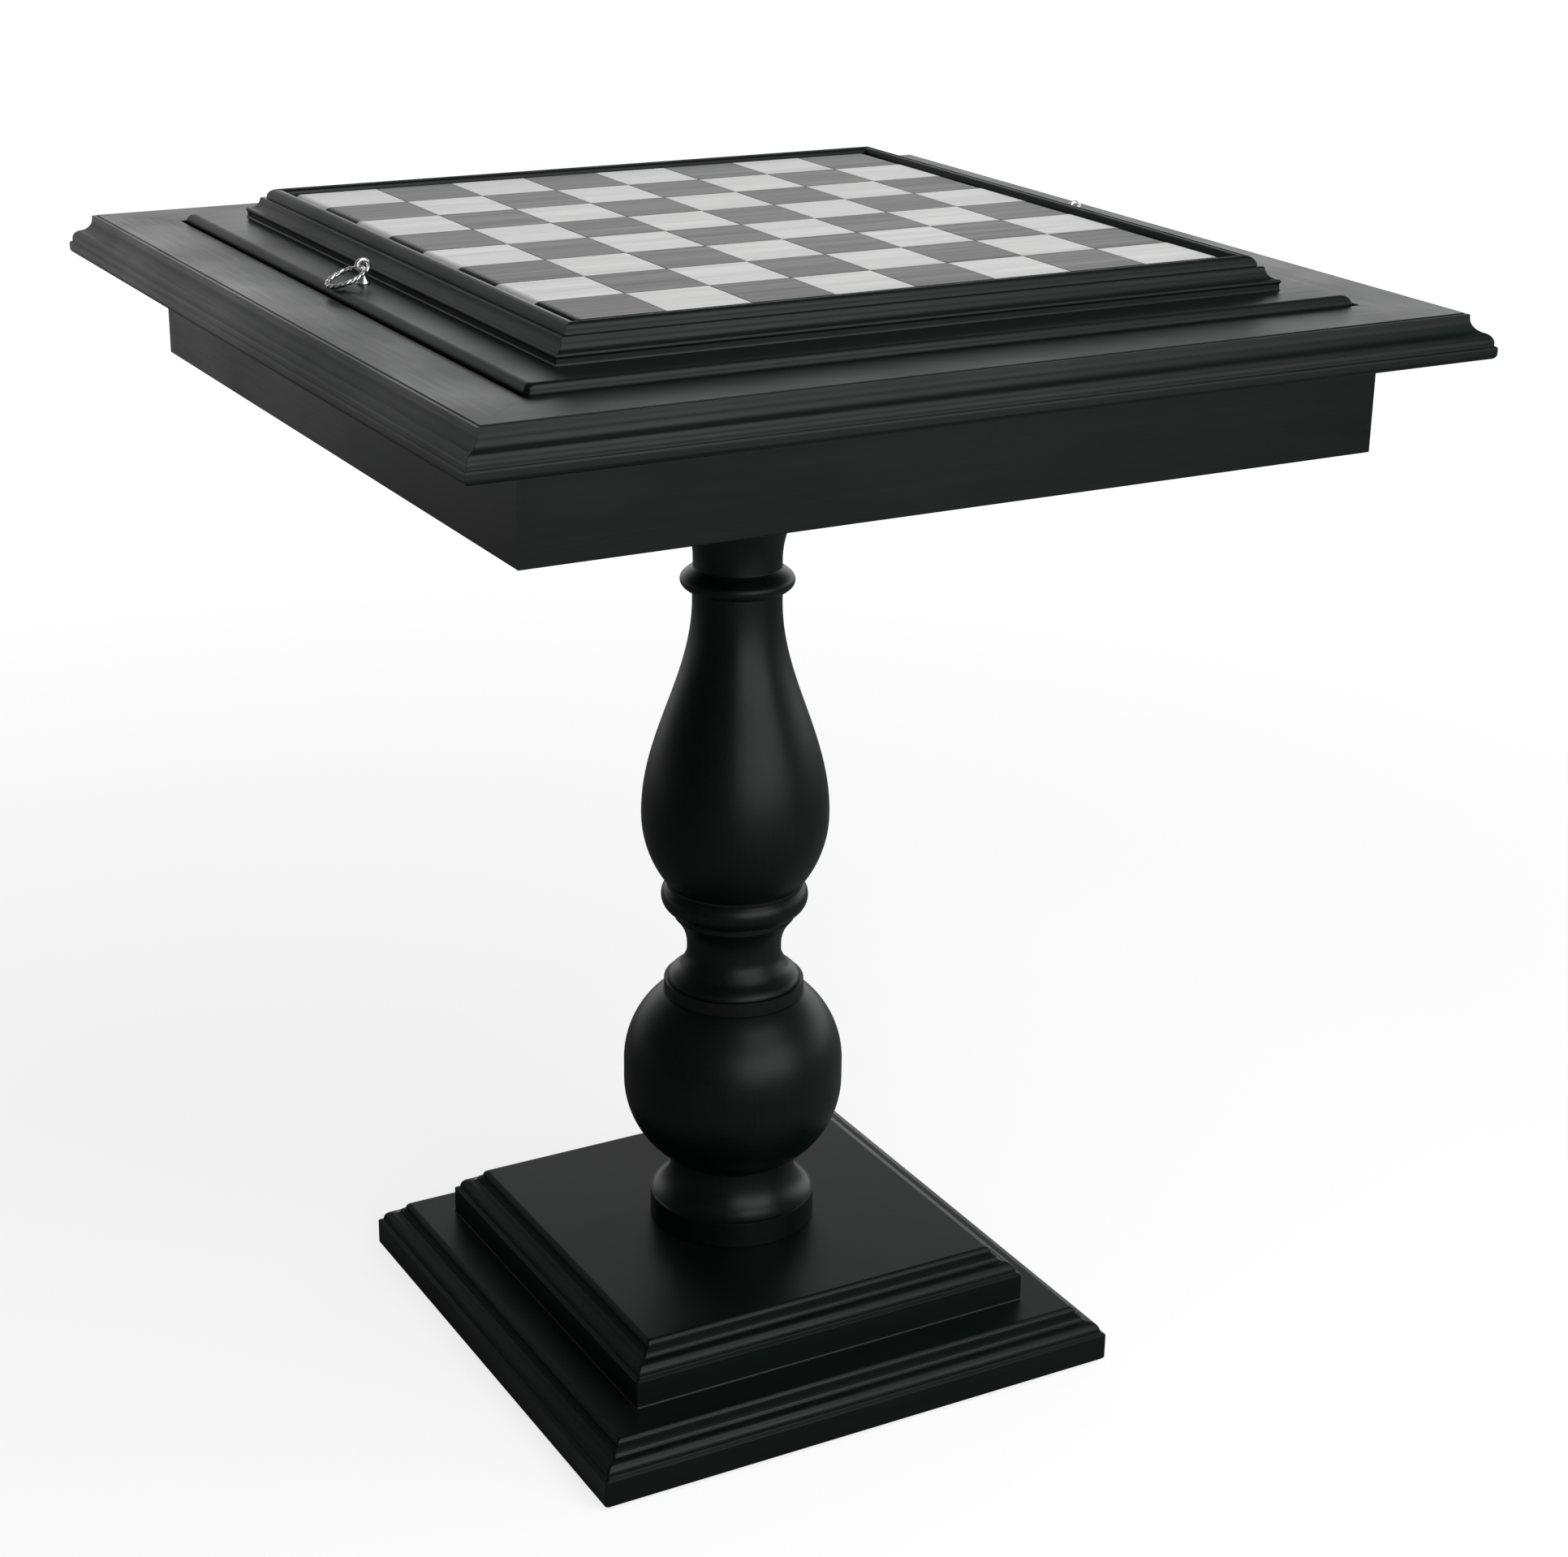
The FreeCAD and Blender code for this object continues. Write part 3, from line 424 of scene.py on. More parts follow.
# --- Shader nodes and groups ---
def wire(tree, made, inputs):
    """Gives each input of a node, by name or number, its value or the socket that feeds it."""
    for key, value in inputs.items():
        if isinstance(value, bpy.types.NodeSocket):
            tree.links.new(value, made.inputs[key])
        else:
            made.inputs[key].default_value = value


def node(tree, kind, inputs=None, **settings):
    """Adds a node with its settings and wires its inputs."""
    made = tree.nodes.new(kind)
    for key, value in settings.items():
        setattr(made, key, value)
    wire(tree, made, inputs or {})
    return made


def maths(tree, operation, *values):
    inputs = dict(enumerate(values))
    return node(tree, "ShaderNodeMath", inputs, operation=operation).outputs[0]


def ranged(tree, value, low_value, high_value, from_low=0.3, from_high=0.7):
    """Spreads a noise value between two numbers."""
    return node(tree, "ShaderNodeMapRange",
                {"Value": value, "From Min": from_low, "From Max": from_high,
                 "To Min": low_value, "To Max": high_value}).outputs["Result"]


def faded(tree, value, none, full):
    """Smooth step of a value: 0 at none, 1 at full."""
    return node(tree, "ShaderNodeMapRange", {"Value": value, "From Min": none, "From Max": full},
                interpolation_type="SMOOTHSTEP").outputs["Result"]


def start_group(name, number, default, outputs):
    """Empty shader group that takes coordinates and one number and puts out the named values."""
    group = bpy.data.node_groups.new(name, "ShaderNodeTree")
    new_socket = group.interface.new_socket
    new_socket(name="Coordinates", in_out="INPUT", socket_type="NodeSocketVector")
    size = new_socket(name=number, in_out="INPUT", socket_type="NodeSocketFloat")
    size.default_value = default
    for output in outputs:
        new_socket(name=output, in_out="OUTPUT", socket_type="NodeSocketFloat")
    inlet = node(group, "NodeGroupInput").outputs
    return group, inlet["Coordinates"], inlet[number]


def grain_group():
    """Fine streaks along a piece: two noises on the stretched coordinates that come in, the second
    0.22 times as fine.  Puts out a streak value and a slower tone value, both from 0 to 1."""
    group, place, fineness = start_group("lengthwise_grain", "Fineness", 1.0, ("Streak", "Tone"))
    fine = node(group, "ShaderNodeTexNoise",
                {"Vector": place, "Scale": fineness, "Detail": 4.0, "Roughness": 0.6})
    coarse = maths(group, "MULTIPLY", fineness, 0.22)
    slow = node(group, "ShaderNodeTexNoise", {"Vector": place, "Scale": coarse, "Detail": 2.0})
    node(group, "NodeGroupOutput", {"Streak": fine.outputs["Fac"], "Tone": slow.outputs["Fac"]})
    return group


def film_group():
    """Skin of sprayed paint or plating: a soft ripple with a few dust nibs, put out as a height
    and as a slow cloud for the sheen."""
    group, place, fineness = start_group("sprayed_film", "Ripple Scale", 400.0,
                                         ("Height", "Cloud"))
    nib_density, nib_size, nib_height = 160.0, 0.06, 0.8
    ripple = node(group, "ShaderNodeTexNoise",
                  {"Vector": place, "Scale": fineness, "Detail": 2.0})
    nibs = node(group, "ShaderNodeTexVoronoi", {"Vector": place, "Scale": nib_density})
    raised = ranged(group, nibs.outputs["Distance"], nib_height, 0.0, 0.0, nib_size)
    cloud = node(group, "ShaderNodeTexNoise", {"Vector": place, "Scale": 9.0, "Detail": 3.0})
    height = maths(group, "ADD", ripple.outputs["Fac"], raised)
    node(group, "NodeGroupOutput", {"Height": height, "Cloud": cloud.outputs["Fac"]})
    return group


def pattern(tree, name, maker, place, number, value):
    """Outputs of a shared group at the given coordinates."""
    group = bpy.data.node_groups.get(name) or maker()
    return node(tree, "ShaderNodeGroup", {"Coordinates": place, number: value},
                node_tree=group).outputs


def grain(tree, axis, along, across, fineness):
    """Streaks stretched along one axis."""
    place = node(tree, "ShaderNodeTexCoord").outputs["Object"]
    scale = [along if name == axis else across for name in "xyz"]
    mapping = node(tree, "ShaderNodeMapping", {"Vector": place, "Scale": scale})
    return pattern(tree, "lengthwise_grain", grain_group, mapping.outputs["Vector"],
                   "Fineness", fineness)


def film(tree, ripple):
    place = node(tree, "ShaderNodeTexCoord").outputs["Object"]
    return pattern(tree, "sprayed_film", film_group, place, "Ripple Scale", ripple)


# --- Materials ---
def material(name, fill, **values):
    """The material of that name.  A new one gets its nodes from fill(tree, **values)."""
    made = bpy.data.materials.get(name)
    if made is None:
        made = bpy.data.materials.new(name)
        made.use_nodes = True
        fill(made.node_tree, **values)
    return made


def shade(colour, factor):
    return tuple(channel * factor for channel in colour[:3])


def finished(tree, tone, dark, light, rough, bump, metallic=0.0, ior=1.5):
    """Sets the shader.  The tone value mixes two colours, rough is (value, low, high) with the
    value's own range after it, and bump is (height, strength, distance in metres)."""
    mix = node(tree, "ShaderNodeMix",
               {"Factor": ranged(tree, tone, 0.0, 1.0), "A": (*dark, 1), "B": (*light, 1)},
               data_type="RGBA")
    height, strength, distance = bump
    raised = node(tree, "ShaderNodeBump",
                  {"Height": height, "Strength": strength, "Distance": distance})
    wire(tree, tree.nodes["Principled BSDF"],
         {"Base Color": mix.outputs["Result"], "Roughness": ranged(tree, *rough),
          "Normal": raised.outputs["Normal"], "Metallic": metallic, "IOR": ior})


def lacquer(tree, finish, axis):
    """Satin black lacquer over close-grained wood whose grain runs along the given axis."""
    wood = grain(tree, axis, along=6.0, across=260.0, fineness=3.0)
    skin = film(tree, ripple=420.0)
    colour, rough, spread = tuple(finish.lacquer_colour), finish.lacquer_roughness, 0.07
    sheen = maths(tree, "MULTIPLY_ADD", wood["Streak"], 0.5, skin["Cloud"])
    height = maths(tree, "MULTIPLY_ADD", wood["Streak"], 0.3, skin["Height"])
    finished(tree, wood["Streak"], shade(colour, 0.75), shade(colour, 1.3),
             rough=(sheen, rough - spread, rough + spread, 0.5, 1.0),
             bump=(height, 0.3, 0.00005), ior=finish.lacquer_ior)


def lacquered(context, axis):
    finish = context.scene.games_finish
    return material("black_lacquer_" + axis, lacquer, finish=finish, axis=axis)


def shade_darkened_black(tree, colour):
    """Black edge of the board with faint streaks along it, painted darker than the lacquer and given
    only a weak reflection: painted shade for the rolled edge that lies in shade under the rails.
    """
    wood = grain(tree, "y", along=6.0, across=260.0, fineness=3.0)
    skin = film(tree, ripple=420.0)
    finished(tree, wood["Streak"], shade(colour, 0.3), shade(colour, 0.6),
             rough=(skin["Cloud"], 0.16, 0.22), bump=(skin["Height"], 0.2, 0.00003), ior=1.1)


def brushed(tree, colour, metallic, rough, contrast):
    """Brushed sheet under a satin clear coat, which gives it the sheen; the streaks run along X."""
    sheet, spread = grain(tree, "x", along=8.0, across=700.0, fineness=2.0), 0.04
    finished(tree, sheet["Streak"], shade(colour, 1 - contrast), shade(colour, 1 + contrast),
             rough=(sheet["Tone"], rough - spread, rough + spread),
             bump=(sheet["Streak"], 0.25, 0.00005), metallic=metallic, ior=1.36)


def plated(tree, colour, rough, ripple):
    """Chrome or zinc plating."""
    skin = film(tree, ripple)
    finished(tree, skin["Cloud"], shade(colour, 0.93), colour,
             rough=(skin["Height"], rough, rough * 1.6, 0.4, 1.2),
             bump=(skin["Height"], 0.15, 0.00003), metallic=1.0)


def bare_wood(tree, dark, light, axis):
    """Unpainted wood whose grain runs along the given axis."""
    wood = grain(tree, axis, along=8.0, across=220.0, fineness=3.0)
    finished(tree, wood["Streak"], dark, light, rough=(wood["Tone"], 0.55, 0.7),
             bump=(wood["Streak"], 0.4, 0.0001))


def plastic(tree, colour):
    """Moulded plastic with a fine matt skin."""
    skin = film(tree, ripple=900.0)
    finished(tree, skin["Cloud"], colour, shade(colour, 1.4), rough=(skin["Height"], 0.5, 0.65),
             bump=(skin["Height"], 0.3, 0.0001))


def dress(names, finish):
    """Gives CAD nodes that keep their own shape a finished material."""
    for name in names:
        data = frame["nodes"][name].data
        data.materials.clear()
        data.materials.append(finish)


# --- Sizes and finishes that a user would change ---
class FinishSettings(bpy.types.PropertyGroup):
    lacquer_colour: bpy.props.FloatVectorProperty(
        name="Lacquer colour", description="Colour of the black lacquer", subtype="COLOR",
        size=3, min=0, max=1, default=(0.002, 0.0048, 0.0038))
    lacquer_roughness: bpy.props.FloatProperty(
        name="Lacquer roughness", description="Sheen of the lacquer, from gloss to matt",
        min=0.05, max=1, default=0.38, subtype="FACTOR")
    lacquer_ior: bpy.props.FloatProperty(
        name="Lacquer refraction", description="Index of refraction of the lacquer film",
        min=1.1, max=1.8, default=1.32)
    light_metal: bpy.props.FloatVectorProperty(
        name="Light squares", description="Colour of the light metal squares", subtype="COLOR",
        size=3, min=0, max=1, default=(0.66, 0.66, 0.656))
    dark_metal: bpy.props.FloatVectorProperty(
        name="Dark squares", description="Colour of the dark metal squares", subtype="COLOR",
        size=3, min=0, max=1, default=(0.03, 0.03, 0.03))
    metal_roughness: bpy.props.FloatProperty(
        name="Metal roughness", description="Sheen of the brushed squares",
        min=0.05, max=1, default=0.4, subtype="FACTOR")


class BoardSettings(bpy.types.PropertyGroup):
    squares: bpy.props.IntProperty(
        name="Squares a side", description="Number of squares along each side of the board",
        min=2, max=12, default=8)
    inlay_gap: bpy.props.FloatProperty(
        name="Inlay gap", description="Gap between neighbouring squares", unit="LENGTH",
        min=0.0, max=0.002, default=0.0003)
    tile_bevel: bpy.props.FloatProperty(
        name="Square bevel", description="Width of the bevel round each square", unit="LENGTH",
        min=0.0, max=0.001, default=0.0003)


class JoinerySettings(bpy.types.PropertyGroup):
    plinth_corner: bpy.props.FloatProperty(
        name="Plinth corners", description="Rounding of the plinths' upright corners, in millimetres",
        min=0.1, max=10, default=1.6)
    lid_corner: bpy.props.FloatProperty(
        name="Lid corners", description="Rounding of the lid's upright corners, in millimetres",
        min=0.1, max=10, default=3.5)
    rope_twists: bpy.props.IntProperty(
        name="Ring twists", description="Turns of the two strands in each pull ring",
        min=2, max=30, default=8)


class StageSettings(bpy.types.PropertyGroup):
    camera_place: bpy.props.FloatVectorProperty(
        name="Camera place", description="Where the camera stands", subtype="XYZ", unit="LENGTH",
        size=3, default=(-0.84035, -1.55661, 1.05127))
    camera_turn: bpy.props.FloatVectorProperty(
        name="Camera turn", description="Camera's turn about X, Y and Z", subtype="EULER",
        size=3, default=(math.radians(68.6516), math.radians(-0.9855), math.radians(-29.3678)))
    focal_length: bpy.props.FloatProperty(
        name="Focal length", description="Lens of the camera, in millimetres",
        min=10, max=300, default=68.634)
    lens_shift: bpy.props.FloatVectorProperty(
        name="Lens shift", description="Shift of the frame across and up", size=2,
        default=(-0.01205, 0.01909))
    floor_colour: bpy.props.FloatVectorProperty(
        name="Floor colour", description="Colour of the floor", subtype="COLOR", size=3,
        min=0, max=1, default=(0.3, 0.3, 0.3))
    floor_lift: bpy.props.FloatProperty(
        name="Floor lift", description="How far the floor is lifted towards white where it is seen",
        min=0, max=2, default=0.96)
    floor_lift_near: bpy.props.FloatProperty(
        name="Floor lift near", description="The same lift close to the table, where its shadow lies",
        min=0, max=2, default=0.8)
    backdrop_level: bpy.props.FloatProperty(
        name="Backdrop level", description="Brightness of the pale backdrop behind the table",
        min=0, max=3, default=1.85)
    backdrop_azimuth: bpy.props.FloatProperty(
        name="Backdrop azimuth", description="Direction of the backdrop's middle, in degrees",
        min=-180, max=180, default=42)
    room_level: bpy.props.FloatProperty(
        name="Room level", description="Brightness of the dim room round the backdrop",
        min=0, max=2, default=0.08)
    softbox_power: bpy.props.FloatProperty(
        name="Softbox power", description="Power of the softbox beside the camera", unit="POWER",
        min=0, max=1000, default=24)
    overhead_power: bpy.props.FloatProperty(
        name="Overhead power", description="Power of the softbox overhead", unit="POWER",
        min=0, max=1000, default=30)


# --- Operators ---
class OBJECT_OT_games_base(bpy.types.Operator):
    """Builds the two moulded plinths of the base"""
    bl_idname = "games_table.base"
    bl_label = "Base plinths"

    def execute(self, context):
        finish = lacquered(context, "x")
        rounding = context.scene.games_joinery.plinth_corner
        chamfered = corner((-1.2, 0), (0, 1.2))
        painted_in = corner((0.6, 0), (0.55, 0.15), (0, 0.75))
        for name, foot in (("base_lower_plinth", chamfered), ("base_upper_plinth", painted_in)):
            outline = plinth_outline(foot)
            points, faces = moulded_block(outline, high(name, 0), low(name, 2), rounding)
            add_piece("moulded_" + name, points, faces, finish, "table", [name])
        return {"FINISHED"}


class OBJECT_OT_games_column(bpy.types.Operator):
    """Builds the column's two turnings"""
    bl_idname = "games_table.column"
    bl_label = "Turned column"

    def execute(self, context):
        finish = lacquered(context, "z")
        points, faces = turned(lower_turning_outline(), column_foot)
        add_piece("turned_foot_and_ball", points, faces, finish, "table", ["column_lower"])
        points, faces = turned(upper_turning_outline(), column_joint)
        add_piece("turned_vase_and_collar", points, faces, finish, "table", ["column_upper"])
        return {"FINISHED"}


class OBJECT_OT_games_top_frame(bpy.types.Operator):
    """Builds the four mitred members of the top frame"""
    bl_idname = "games_table.top_frame"
    bl_label = "Top frame"

    def execute(self, context):
        square_frame(context, top_edge_outline(), top_foot, "moulded_top", "top_frame", "table")
        return {"FINISHED"}


class OBJECT_OT_games_board_frame(bpy.types.Operator):
    """Builds the four mitred rails round the board"""
    bl_idname = "games_table.board_frame"
    bl_label = "Board frame"

    def execute(self, context):
        square_frame(context, board_rail_outline(), lid_top, "moulded_rail", "board_frame", "lid")
        return {"FINISHED"}


class OBJECT_OT_games_lid(bpy.types.Operator):
    """Builds the lid panel with its rounded edge"""
    bl_idname = "games_table.lid"
    bl_label = "Lid"

    def execute(self, context):
        rounding = context.scene.games_joinery.lid_corner
        points, faces = moulded_block(lid_outline(), high("lid_panel", 0), lid_foot, rounding)
        add_piece("rounded_lid", points, faces, lacquered(context, "x"), "lid", ["lid_panel"])
        return {"FINISHED"}


class OBJECT_OT_games_board(bpy.types.Operator):
    """Builds the board's rolled core and its inlaid squares"""
    bl_idname = "games_table.board"
    bl_label = "Inlaid board"

    def execute(self, context):
        finish = context.scene.games_finish
        board = context.scene.games_board
        recess, rounding = (board_surface - tile_foot) / mm, 3.0
        points, faces = moulded_block(board_core_outline(recess), board_half, lid_top, rounding)
        # The rolled edge gets a black darker than the lacquer with a weak reflection, as painted
        # shade for the edge under the rails.
        black = material("black_edge_painted_shade", shade_darkened_black, colour=tuple(finish.lacquer_colour))
        add_piece("rolled_board", points, faces, black, "lid", ["board_panel"])
        rough = finish.metal_roughness
        light = material("brushed_light_sheet", brushed, colour=tuple(finish.light_metal),
                         metallic=0.6, rough=rough, contrast=0.12)
        dark = material("brushed_dark_sheet", brushed, colour=tuple(finish.dark_metal),
                        metallic=0.0, rough=rough, contrast=0.5)
        for colour, name, sheet in ((0, "dark_squares", dark), (1, "light_squares", light)):
            points, faces = inlaid_squares(board, colour)
            add_piece("inlaid_" + name, points, faces, sheet, "lid", [name], sharp=15)
        return {"FINISHED"}


def inlaid_squares(board, colour):
    """All squares of one colour as bevelled plates: each is the same three square rings of
    points (foot, shoulder, top), moved to its place.  Light squares at the left and right ends
    of a row are carried over the board's rolled edge by a quarter-round strip."""
    pitch = 2 * (field_half + board.inlay_gap / 2) / board.squares
    half = (pitch - board.inlay_gap) / 2
    column, row = np.meshgrid(np.arange(board.squares), np.arange(board.squares), indexing="ij")
    mine = (column + row) % 2 == colour
    middle = (np.column_stack((column[mine], row[mine])) - (board.squares - 1) / 2) * pitch
    ring = np.array([(-1, -1), (1, -1), (1, 1), (-1, 1)], float)
    bevel, bevel_fall = board.tile_bevel, 0.4
    sizes = (half, half, half - bevel)
    heights = (tile_foot, board_surface - bevel_fall * bevel, board_surface)
    unit = np.vstack([np.column_stack((ring * size, np.full(4, height)))
                      for size, height in zip(sizes, heights)])
    shift = np.column_stack((middle, np.zeros(len(middle))))
    points = (unit[None, :, :] + shift[:, None, :]).reshape(-1, 3)
    at_edge = np.abs(points[:, :2]) > field_half - 1.5 * bevel
    points[:, :2] -= np.where(at_edge, np.sign(points[:, :2]) * field_trim, 0.0)
    sides = grid_faces(3, 4, close_columns=True)
    caps = np.array([(3, 2, 1, 0), (8, 9, 10, 11)])
    unit_faces = np.vstack((sides, caps))
    start = np.arange(len(middle)) * len(unit)
    faces = (unit_faces[None, :, :] + start[:, None, None]).reshape(-1, 4)
    if colour == 0:
        return points, [faces.tolist()]
    edge_points, edge_faces = rolled_strips(middle, half, len(points))
    return np.vstack((points, edge_points)), [faces.tolist(), edge_faces.tolist()]


def rolled_strips(middle, half, first_index):
    """Quarter-round strips over the board's left and right edges beside the light squares:
    x = side (edge - roll + r sin a), z = surface - roll + r cos a, for an outer and an inner r."""
    last_turn, sheet = 88, 0.0001
    at_end = np.abs(middle[:, 0]) > np.abs(middle[:, 0]).max() - half
    side = np.sign(middle[at_end, 0])
    place = middle[at_end, 1]
    turn = np.radians(np.linspace(0, last_turn, 9))
    outer, inner = board_roll, board_roll - sheet
    arc_x = np.concatenate((outer * np.sin(turn), inner * np.sin(turn[::-1])))
    arc_z = np.concatenate((outer * np.cos(turn), inner * np.cos(turn[::-1])))
    count = len(arc_x)
    x = side[:, None, None] * (board_half - board_roll + arc_x)[None, None, :]
    y = place[:, None, None] + np.array([-half, half])[None, :, None]
    y = np.clip(y, field_trim - field_half, field_half - field_trim)
    z = (board_surface - board_roll + arc_z)[None, None, :]
    shape = (len(side), 2, count)
    points = np.stack([np.broadcast_to(part, shape) for part in (x, y, z)], axis=-1).reshape(-1, 3)
    k = np.arange(count // 2 - 1)
    near_end = np.column_stack((k, count - 1 - k, count - 2 - k, k + 1))
    far_end = near_end[:, ::-1] + count
    unit = np.vstack((grid_faces(2, count, close_columns=True), near_end, far_end))
    unit = np.where(side[:, None, None] > 0, unit[None, :, ::-1], unit[None, :, :])
    start = first_index + np.arange(len(side)) * 2 * count
    return points, (unit + start[:, None, None]).reshape(-1, 4)


class OBJECT_OT_games_pulls(bpy.types.Operator):
    """Builds the screw eyes and the twisted pull rings"""
    bl_idname = "games_table.pulls"
    bl_label = "Ring pulls"

    def execute(self, context):
        chrome = material("bright_chrome", plated, colour=(0.95, 0.95, 0.955), rough=0.24,
                          ripple=900.0)
        twists = context.scene.games_joinery.rope_twists
        joints = {joint["name"]: joint for joint in frame["joints"]}
        for side in ("left", "right"):
            eye = "ring_eye_" + side
            points, faces = screw_eye(eye)
            add_piece("chromed_eye_" + side, points, faces, chrome, "lid", [eye])
            pivot = np.array(joints[side + "_ring_swing"]["pos_m"])
            ring = "pull_ring_" + side
            points, faces = twisted_ring(ring, pivot, twists)
            add_piece("twisted_ring_" + side, points, faces, chrome, side + "_ring", [ring])
        return {"FINISHED"}


def tube(line, normal, binormal, radius, sides=14):
    """Closed tube round a closed line: line + radius (normal cos a + binormal sin a)."""
    turn = np.linspace(0, 2 * math.pi, sides, endpoint=False)
    skin = (line[:, None, :] + radius * (normal[:, None, :] * np.cos(turn)[None, :, None]
                                         + binormal[:, None, :] * np.sin(turn)[None, :, None]))
    return skin.reshape(-1, 3), grid_faces(len(line), sides, True, True)


def twisted_ring(name, pivot, twists):
    """Ring of two strands that wind round its centre line: strand centre = c + R u(t)
    + e (u(t) cos(Nt + p) + n sin(Nt + p)), where u(t) is the unit spoke and n the ring's axis."""
    low_corner, high_corner = np.array(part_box(name))
    wire_width = 2.4 * mm
    strand, offset = 0.43 * wire_width, 0.17 * wire_width
    steps_per_twist = 24
    outer = (high_corner[1] - low_corner[1]) / 2
    spoke_radius = outer - wire_width / 2
    far_x = low_corner[0] if pivot[0] < 0 else high_corner[0]
    side = math.copysign(1, pivot[0])
    middle_x = (far_x - side * wire_width / 2 + pivot[0]) / 2
    across = abs(middle_x - pivot[0])
    fall = math.sqrt(max(spoke_radius**2 - across**2, 0.0))
    centre = np.array([middle_x, pivot[1], pivot[2] - fall])
    outwards = (centre - pivot) / spoke_radius
    sideways = np.array([0.0, 1.0, 0.0])
    axis = np.cross(outwards, sideways)
    t = np.linspace(0, 2 * math.pi, steps_per_twist * twists, endpoint=False)[:, None]
    spoke = outwards * np.cos(t) + sideways * np.sin(t)
    points, faces = [], []
    for phase in (0.0, math.pi):
        wind = twists * t + phase
        line = centre + spoke_radius * spoke + offset * (spoke * np.cos(wind) + axis * np.sin(wind))
        skin, quads = tube(line, spoke, np.broadcast_to(axis, spoke.shape), strand)
        faces.append(quads[:, ::-1] + sum(len(part) for part in points))
        points.append(skin)
    return np.vstack(points), [np.vstack(faces).tolist()]


def screw_eye(name):
    """Turned collar and shank with a round eye on top: a revolved outline and a closed tube."""
    low_corner, high_corner = np.array(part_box(name))
    x, y = (low_corner[:2] + high_corner[:2]) / 2
    wire_radius, shank, collar, collar_edge, neck, neck_z = 1.3, 1.5, 4.0, 0.5, 1.1, 4.8
    tip, point = 0.4, 2.5
    cone_foot, cone_top = (3.7, 0.9), (shank, 4.3)
    height = (high_corner[2] - lid_top) / mm
    eye_radius = (high_corner[0] - low_corner[0]) / 2 / mm - wire_radius
    eye_z = height - wire_radius - eye_radius
    depth = (low_corner[2] - lid_top) / mm
    outline = eased(run(
        corner((0, depth), (tip, depth), (shank, depth + point), (shank, 0.0)),
        corner((collar, 0.0), (collar, collar_edge)),
        flowing(cone_foot, 120, cone_top, 105, 12),
        corner((neck, neck_z), (neck, eye_z - eye_radius), (0, eye_z - eye_radius))), reach=0.15)
    points, faces = turned(outline, lid_top, 40)
    points = points + np.array([x, y, 0])
    t = np.linspace(0, 2 * math.pi, 48, endpoint=False)[:, None]
    spoke = np.column_stack((np.cos(t), np.zeros_like(t), np.sin(t)))
    sideways = np.broadcast_to(np.array([0.0, 1.0, 0.0]), spoke.shape)
    centre = np.array([x, y, lid_top + eye_z * mm])
    ring, quads = tube(centre + eye_radius * mm * spoke, spoke, sideways, wire_radius * mm, 16)
    return np.vstack((points, ring)), faces + [(quads + len(points)).tolist()]


class OBJECT_OT_games_joinery(bpy.types.Operator):
    """Finishes the pieces that keep their frame shape: box, battens, dowels and fasteners"""
    bl_idname = "games_table.joinery"
    bl_label = "Box and fasteners"

    def execute(self, context):
        dress(["apron_front", "apron_back", "box_bottom", "mounting_plate"],
              lacquered(context, "x"))
        dress(["apron_left", "apron_right", "lid_batten_left", "lid_batten_right"],
              lacquered(context, "y"))
        corners = ("front_left", "front_right", "back_right", "back_left")
        dress(["corner_block_" + name for name in corners], lacquered(context, "z"))
        dress(["tie_rod", "rod_nuts", "rod_washers", "plate_screws", "plinth_screws",
               "batten_screws", "board_frame_screws"],
              material("dull_zinc", plated, colour=(0.6, 0.6, 0.58), rough=0.28, ripple=500.0))
        dress(["column_dowels", "frame_dowels"],
              material("beech_grain", bare_wood, dark=(0.5, 0.33, 0.19), light=(0.68, 0.5, 0.32),
                       axis="z"))
        dress(["base_glides"], material("black_nylon", plastic, colour=(0.02, 0.02, 0.02)))
        return {"FINISHED"}


class OBJECT_OT_games_stage(bpy.types.Operator):
    """Sets the pale floor, the backdrop, the softboxes and the camera"""
    bl_idname = "games_table.stage"
    bl_label = "Stage"

    def execute(self, context):
        stage = context.scene.games_stage
        lay_floor(stage)
        hang_backdrop(stage)
        add_softbox("camera_softbox", (0.3, -1.9, 0.9), (2.4, 1.1), stage.softbox_power)
        add_softbox("overhead_softbox", (0.5, -1.2, 2.6), (1.8, 1.8), stage.overhead_power)
        place_camera(stage)
        context.scene.view_settings.view_transform = "Standard"
        return {"FINISHED"}


def lay_floor(stage):
    reach = 14.0
    plan = [(-reach, -reach, 0), (reach, -reach, 0), (reach, reach, 0), (-reach, reach, 0)]
    mesh = bpy.data.meshes.new("floor")
    mesh.from_pydata(plan, [], [(0, 1, 2, 3)])
    mesh.materials.append(material("pale_floor", pale_floor, stage=stage))
    floor = add_object("floor", mesh)


